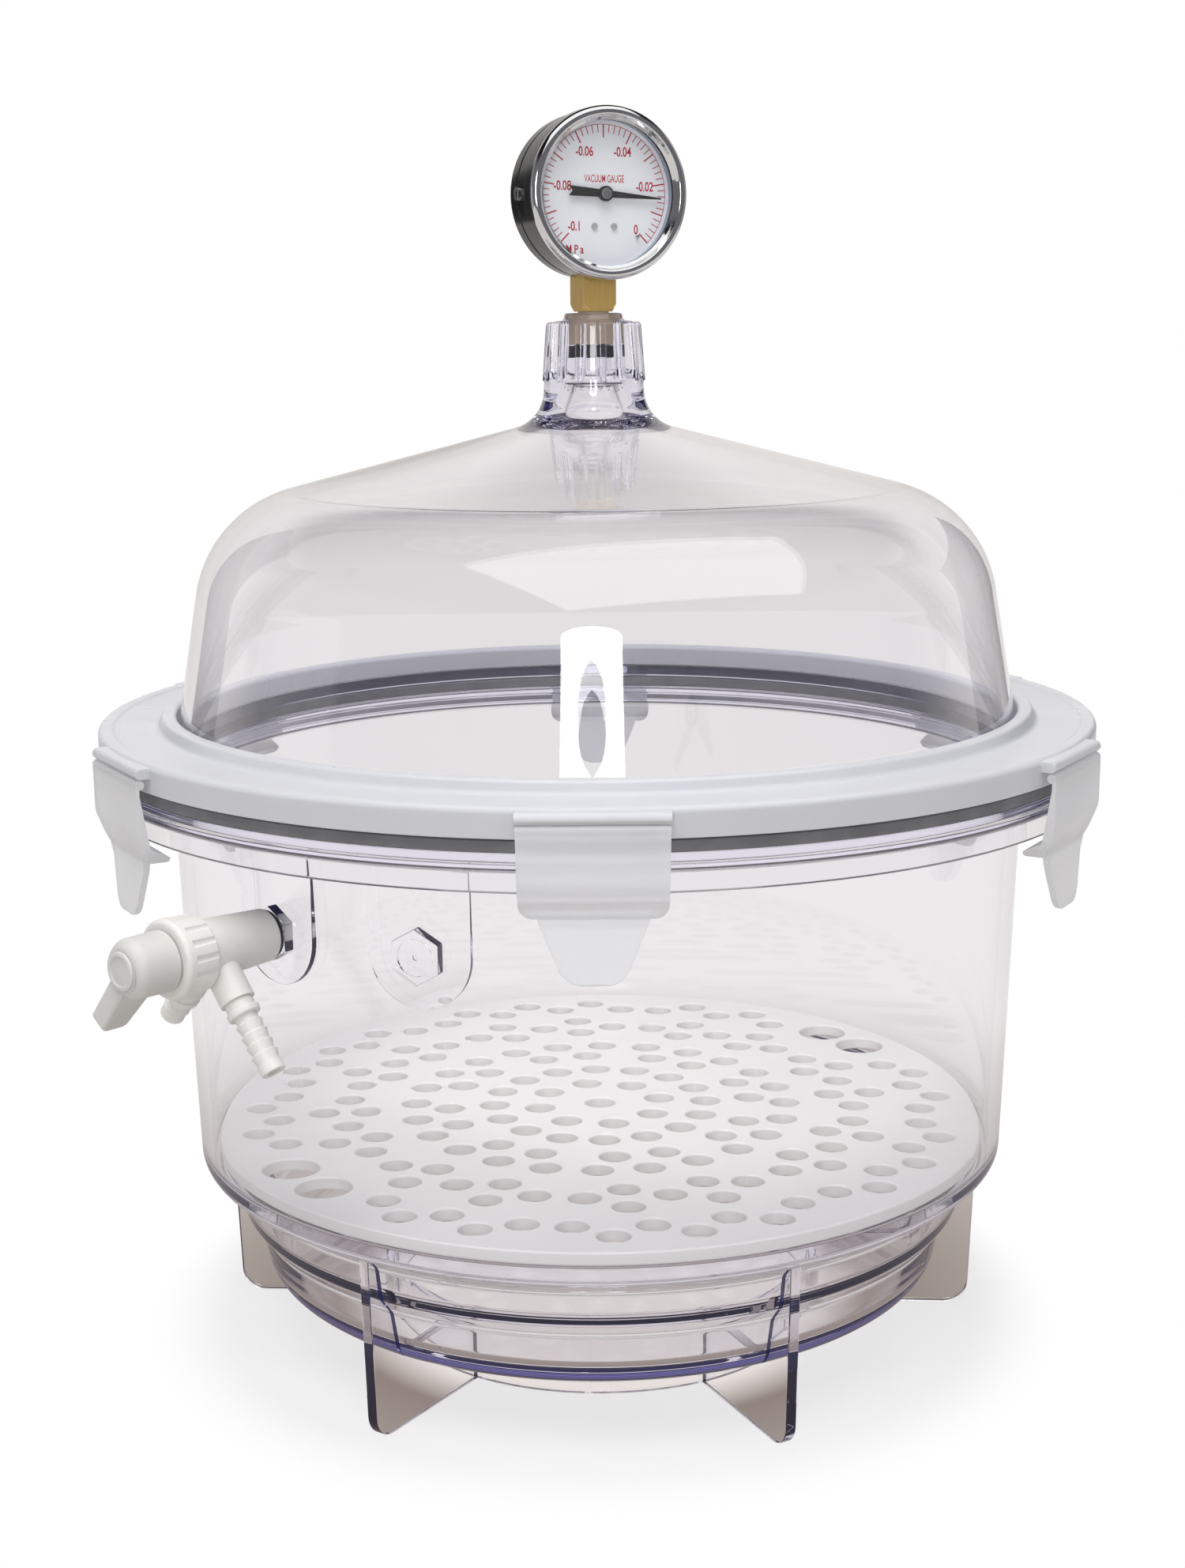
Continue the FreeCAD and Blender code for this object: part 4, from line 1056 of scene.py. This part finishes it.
nut = lathe("ribbed_nut", [
    (NUT_HOLE_R, NUT_BACK, 0.2),
    (12.6, NUT_BACK, 0.8),
    (12.9, NUT_FRONT, 1.6),
    (7.2, NUT_FRONT, 0.5),
    (7.2, 196.4),
    (NUT_HOLE_R, 196.4),
], 192)
combine(nut, [turned_by(rod("groove", 1.3, (13.3, 0, NUT_BACK - 1), (0, 0, 1), NUT_FRONT - NUT_BACK - 2.2, 32),
                        22.5 * i + 8) for i in range(16)], "DIFFERENCE")
eased(nut, 0.25, 40)
finish_piece(on_tap(nut), TAP_WHITE, "tub", ("union_nut",))

hub = lathe("handle_hub", [
    (0, HUB_BACK),
    (9.8, HUB_BACK, 0.5),
    (9.6, HUB_FRONT, 4.5),
    (6.9, HUB_FRONT, 0.3),
    (6.5, HUB_FRONT - 0.8),
    (0, HUB_FRONT - 0.8),
], 128)
lever_outline = rounded([
    (HUB_BACK + 1.0, 4),
    (HUB_BACK + 1.5, -9, 3),
    (HUB_BACK + 6.0, -LEVER_REACH, 2.5),
    (HUB_FRONT, -LEVER_REACH, 2.5),
    (HUB_FRONT - 1.0, -6, 6),
    (HUB_FRONT - 3.0, 4),
])
lever = prism("lever", [(-LEVER_HALF, y, z) for z, y in lever_outline], [(LEVER_HALF, y, z) for z, y in lever_outline])
eased(lever, 1.0, 50, 3)
turned_by(lever, -LEVER_TILT)
combine(hub, [lever], "UNION", "EXACT")
combine(hub, [rod("stem_hole", 5.0, (0, 0, HUB_BACK - 1), (0, 0, 1), 209 - HUB_BACK, 64)], "DIFFERENCE", "EXACT")
finish_piece(on_tap(hub), HANDLE_WHITE, "stopcock_plug", ("stopcock_handle",), 40)

front = HUB_FRONT - 0.8
cap = lathe("handle_button", [
    (0, front + 0.01), (6.2, front + 0.01), (6.2, front + 1.5, 0.5), (5.0, front + 1.7, 0.3),
    (4.6, front + 1.2, 0.2), (0, front + 1.2),
], 96)
finish_piece(on_tap(cap), HANDLE_WHITE, "stopcock_plug", ("handle_cap",))

# ---- finishes of the CAD nodes that stay --------------------------------------------------
for node, material in {
    "blowout_plug": SEAL_BLACK,
    "dial_screws": SCREW_GREY,
    "case_screws": STEEL,
    "pointer_stop": STEEL,
    "bourdon_tube": BRONZE,
    "movement_frame": BRASS,
    "sector_gear": BRASS,
    "pinion_arbor": STEEL,
    "gauge_pointer": POINTER_BLACK,
    "pointer_cap": STEEL,
    "stopcock_plug": TAP_WHITE,
    "plug_o_rings": SEAL_BLACK,
}.items():
    dress(node, material)

# ---- studio -------------------------------------------------------------------------------
scene = bpy.context.scene
AIM = Vector((0, 0, 0.26))
FLOOR_TOP = cad_low[2] - 0.0002
FLOOR_R = 2.4
FLOOR_FAR = 0.45           # beyond this distance the floor's painted shade ends
SHADE_FROM, SHADE_TO = 0.140, 0.178
SHADE_WEAKEST = 0.6        # share of plain white left under the object
# painted shadow: the floor's colours by distance for every ray but the camera's, darkest just outside the foot ring
# where the object's shadow falls and light far out
PAINTED_FLOOR_SHADE = (
    (0.085, (0.82, 0.765, 0.73, 1)),
    (0.105, (0.29, 0.235, 0.205, 1)),
    (0.18, (0.46, 0.41, 0.375, 1)),
    (FLOOR_FAR, (0.90, 0.875, 0.85, 1)),
)
ROOM_FRONT = (0.19, 0.19, 0.21, 1)
ROOM_BACK = (0.84, 0.815, 0.785, 1)
FLAG_BLACK = (0.02, 0.02, 0.02)
WALL_GREY = (0.5, 0.5, 0.5)


def studio_material(name, colour, strength=1):
    material = bpy.data.materials.new(name)
    material.use_nodes = True
    tree = material.node_tree
    tree.nodes.clear()
    out = tree.nodes.new("ShaderNodeOutputMaterial")
    glow = tree.nodes.new("ShaderNodeEmission")
    glow.inputs["Color"].default_value = (*colour, 1)
    glow.inputs["Strength"].default_value = strength
    tree.links.new(glow.outputs[0], out.inputs["Surface"])
    return material


def placed(name, data, place):
    obj = bpy.data.objects.new(name, data)
    scene.collection.objects.link(obj)
    obj.location = place
    return obj


def for_camera(tree, others, camera_sees, out):
    """One shader for what the camera sees directly and another for every other ray."""
    path = tree.nodes.new("ShaderNodeLightPath")
    mix = tree.nodes.new("ShaderNodeMixShader")
    tree.links.new(path.outputs["Is Camera Ray"], mix.inputs[0])
    tree.links.new(others.outputs[0], mix.inputs[1])
    tree.links.new(camera_sees.outputs[0], mix.inputs[2])
    tree.links.new(mix.outputs[0], out.inputs["Surface"])


def card(name, place, width, height, colour):
    """Flat studio card facing the object; the camera doesn't see it directly."""
    mesh = bpy.data.meshes.new(name)
    w, h = width / 2, height / 2
    mesh.from_pydata([(-w, -h, 0), (w, -h, 0), (w, h, 0), (-w, h, 0)], [], [(0, 1, 2, 3)])
    mesh.materials.append(studio_material(name, colour))
    obj = placed(name, mesh, place)
    obj.rotation_euler = (AIM - Vector(place)).to_track_quat("Z", "Y").to_euler()
    obj.visible_camera = False
    obj.visible_shadow = False
    return obj


# the floor: white far away, with a soft shadow near the object; in reflections and through the plastic it glows with a
# painted shadow instead
floor_mesh = bpy.data.meshes.new("floor")
floor_rim = [(FLOOR_R * cos(2 * pi * k / 96), FLOOR_R * sin(2 * pi * k / 96), 0) for k in range(96)]
floor_mesh.from_pydata(floor_rim, [], [list(range(96))])
floor = placed("floor", floor_mesh, (0, 0, FLOOR_TOP))
floor_material = bpy.data.materials.new("floor")
floor_material.use_nodes = True
tree = floor_material.node_tree
tree.nodes.clear()
out = tree.nodes.new("ShaderNodeOutputMaterial")
matt = tree.nodes.new("ShaderNodeBsdfDiffuse")
matt.inputs["Color"].default_value = (0.92, 0.92, 0.92, 1)
glow = tree.nodes.new("ShaderNodeEmission")
glow.inputs["Color"].default_value = (1, 1, 1, 1)
glow.inputs["Strength"].default_value = 1.0
place = tree.nodes.new("ShaderNodeTexCoord")
distance = tree.nodes.new("ShaderNodeVectorMath")
distance.operation = "LENGTH"
tree.links.new(place.outputs["Object"], distance.inputs[0])
fade = graded(tree, distance.outputs["Value"], SHADE_FROM, SHADE_TO, SHADE_WEAKEST, 1.0, "SMOOTHSTEP")
shaded = tree.nodes.new("ShaderNodeMixShader")
tree.links.new(fade, shaded.inputs[0])
tree.links.new(matt.outputs[0], shaded.inputs[1])
tree.links.new(glow.outputs[0], shaded.inputs[2])
# painted shadow: for every ray but the camera's the floor glows in the painted shade colours, darkest under the object
painted_shade_ramp = tree.nodes.new("ShaderNodeValToRGB")
stops = painted_shade_ramp.color_ramp.elements
stops[0].position = PAINTED_FLOOR_SHADE[0][0] / FLOOR_FAR
stops[0].color = PAINTED_FLOOR_SHADE[0][1]
stops[1].position = 1
stops[1].color = PAINTED_FLOOR_SHADE[-1][1]
for radius, colour in PAINTED_FLOOR_SHADE[1:-1]:
    stops.new(radius / FLOOR_FAR).color = colour
tree.links.new(graded(tree, distance.outputs["Value"], 0.0, FLOOR_FAR), painted_shade_ramp.inputs["Fac"])
behind = tree.nodes.new("ShaderNodeEmission")
tree.links.new(painted_shade_ramp.outputs["Color"], behind.inputs["Color"])
for_camera(tree, behind, shaded, out)
floor_mesh.materials.append(floor_material)

# the room: white to the camera, and otherwise dim in front, bright behind and dark overhead
world = bpy.data.worlds.new("studio")
world.use_nodes = True
tree = world.node_tree
tree.nodes.clear()
out = tree.nodes.new("ShaderNodeOutputWorld")
seen = tree.nodes.new("ShaderNodeBackground")
seen.inputs["Color"].default_value = (1, 1, 1, 1)
around = tree.nodes.new("ShaderNodeBackground")
way = tree.nodes.new("ShaderNodeTexCoord")
split = tree.nodes.new("ShaderNodeSeparateXYZ")
backdrop = tree.nodes.new("ShaderNodeMix")
backdrop.data_type = "RGBA"
backdrop.inputs["A"].default_value = ROOM_FRONT
backdrop.inputs["B"].default_value = ROOM_BACK
tree.links.new(way.outputs["Generated"], split.inputs[0])
tree.links.new(graded(tree, split.outputs["Y"], 0.0, 0.5, kind="SMOOTHSTEP"), backdrop.inputs["Factor"])
tree.links.new(backdrop.outputs["Result"], around.inputs["Color"])
tree.links.new(graded(tree, split.outputs["Z"], 0.42, 0.62, 1.0, 0.06, "SMOOTHSTEP"), around.inputs["Strength"])
for_camera(tree, around, seen, out)
scene.world = world

# dark cards for the reflections at the object's edges
for name, place, width, height in (
    ("flag_right", (1.35, 1.35, 0.4), 1.1, 1.0),
    ("flag_left", (-1.45, 1.15, 0.6), 0.65, 1.6),
    ("flag_top_back", (0, 1.2, 1.9), 2.6, 0.8),
):
    flag = card(name, place, width, height, FLAG_BLACK)
    flag.visible_transmission = False


def window_card(name, place, half_width, low, knee, high, strength):
    """Glowing card with an arched top above the knee and a slim dark opening."""
    middle, reach, gap_share, steps = 507, 55, 0.45, 80
    verts, faces = [], []
    for k in range(steps + 1):
        z = low + (high - low) * k / steps
        outer = half_width * sqrt(max(0.0, 1 - (max(0.0, z - knee) / (high - knee)) ** 2))
        gap = half_width * gap_share * sqrt(max(0.0, 1 - ((z - middle) / reach) ** 2))
        verts += [Vector((x, 0, z)) * MM for x in (-outer, -gap, gap, outer)]
    for k in range(0, len(verts) - 4, 4):
        faces += [[k, k + 1, k + 5, k + 4], [k + 2, k + 3, k + 7, k + 6]]
    mesh = bpy.data.meshes.new(name)
    mesh.from_pydata(verts, [], faces)
    mesh.materials.append(studio_material(name, (1, 1, 1), strength))
    obj = placed(name, mesh, place)
    obj.visible_camera = False


def softbox(name, place, width, height, power):
    light = bpy.data.lights.new(name, "AREA")
    light.shape = "RECTANGLE"
    light.size = width
    light.size_y = height
    light.energy = power
    obj = placed(name, light, place)
    obj.rotation_euler = (AIM - Vector(place)).to_track_quat("-Z", "Y").to_euler()
    return obj


softbox("key_top", (0.32, -0.60, 1.62), 1.95, 1.5, 13)
fill = softbox("fill_top", (-0.3, -0.5, 1.9), 1.4, 1.4, 30)
fill.data.color = (1.0, 0.985, 0.965)
fill.visible_glossy = False
fill.visible_transmission = False
window_card("front_window", (-0.02, -1.55, 0), 215, 330, 575, 800, 10)
card("left_wall", (-2.0, -0.2, 0.35), 0.9, 0.7, WALL_GREY)

# ---- camera -------------------------------------------------------------------------------
CAMERA_PLACE = (0.00625, -0.81018, 0.3647)
CAMERA_PAN, CAMERA_RISE, CAMERA_ROLL = 0.57, 78.67, -0.53
LENS = 51.08
SENSOR = 36

camera_data = bpy.data.cameras.new("camera")
camera_data.sensor_fit = "VERTICAL"
camera_data.sensor_height = SENSOR
camera_data.sensor_width = SENSOR
camera_data.lens = LENS
camera = placed("camera", camera_data, CAMERA_PLACE)
camera.rotation_euler = (Matrix.Rotation(radians(CAMERA_PAN), 3, "Z")
                         @ Matrix.Rotation(radians(CAMERA_RISE), 3, "X")
                         @ Matrix.Rotation(radians(CAMERA_ROLL), 3, "Z")).to_euler()
scene.camera = camera

scene.view_settings.view_transform = "Standard"
scene.cycles.max_bounces = 24
scene.cycles.transmission_bounces = 20
scene.cycles.transparent_max_bounces = 24
scene.cycles.caustics_reflective = False
scene.cycles.caustics_refractive = False
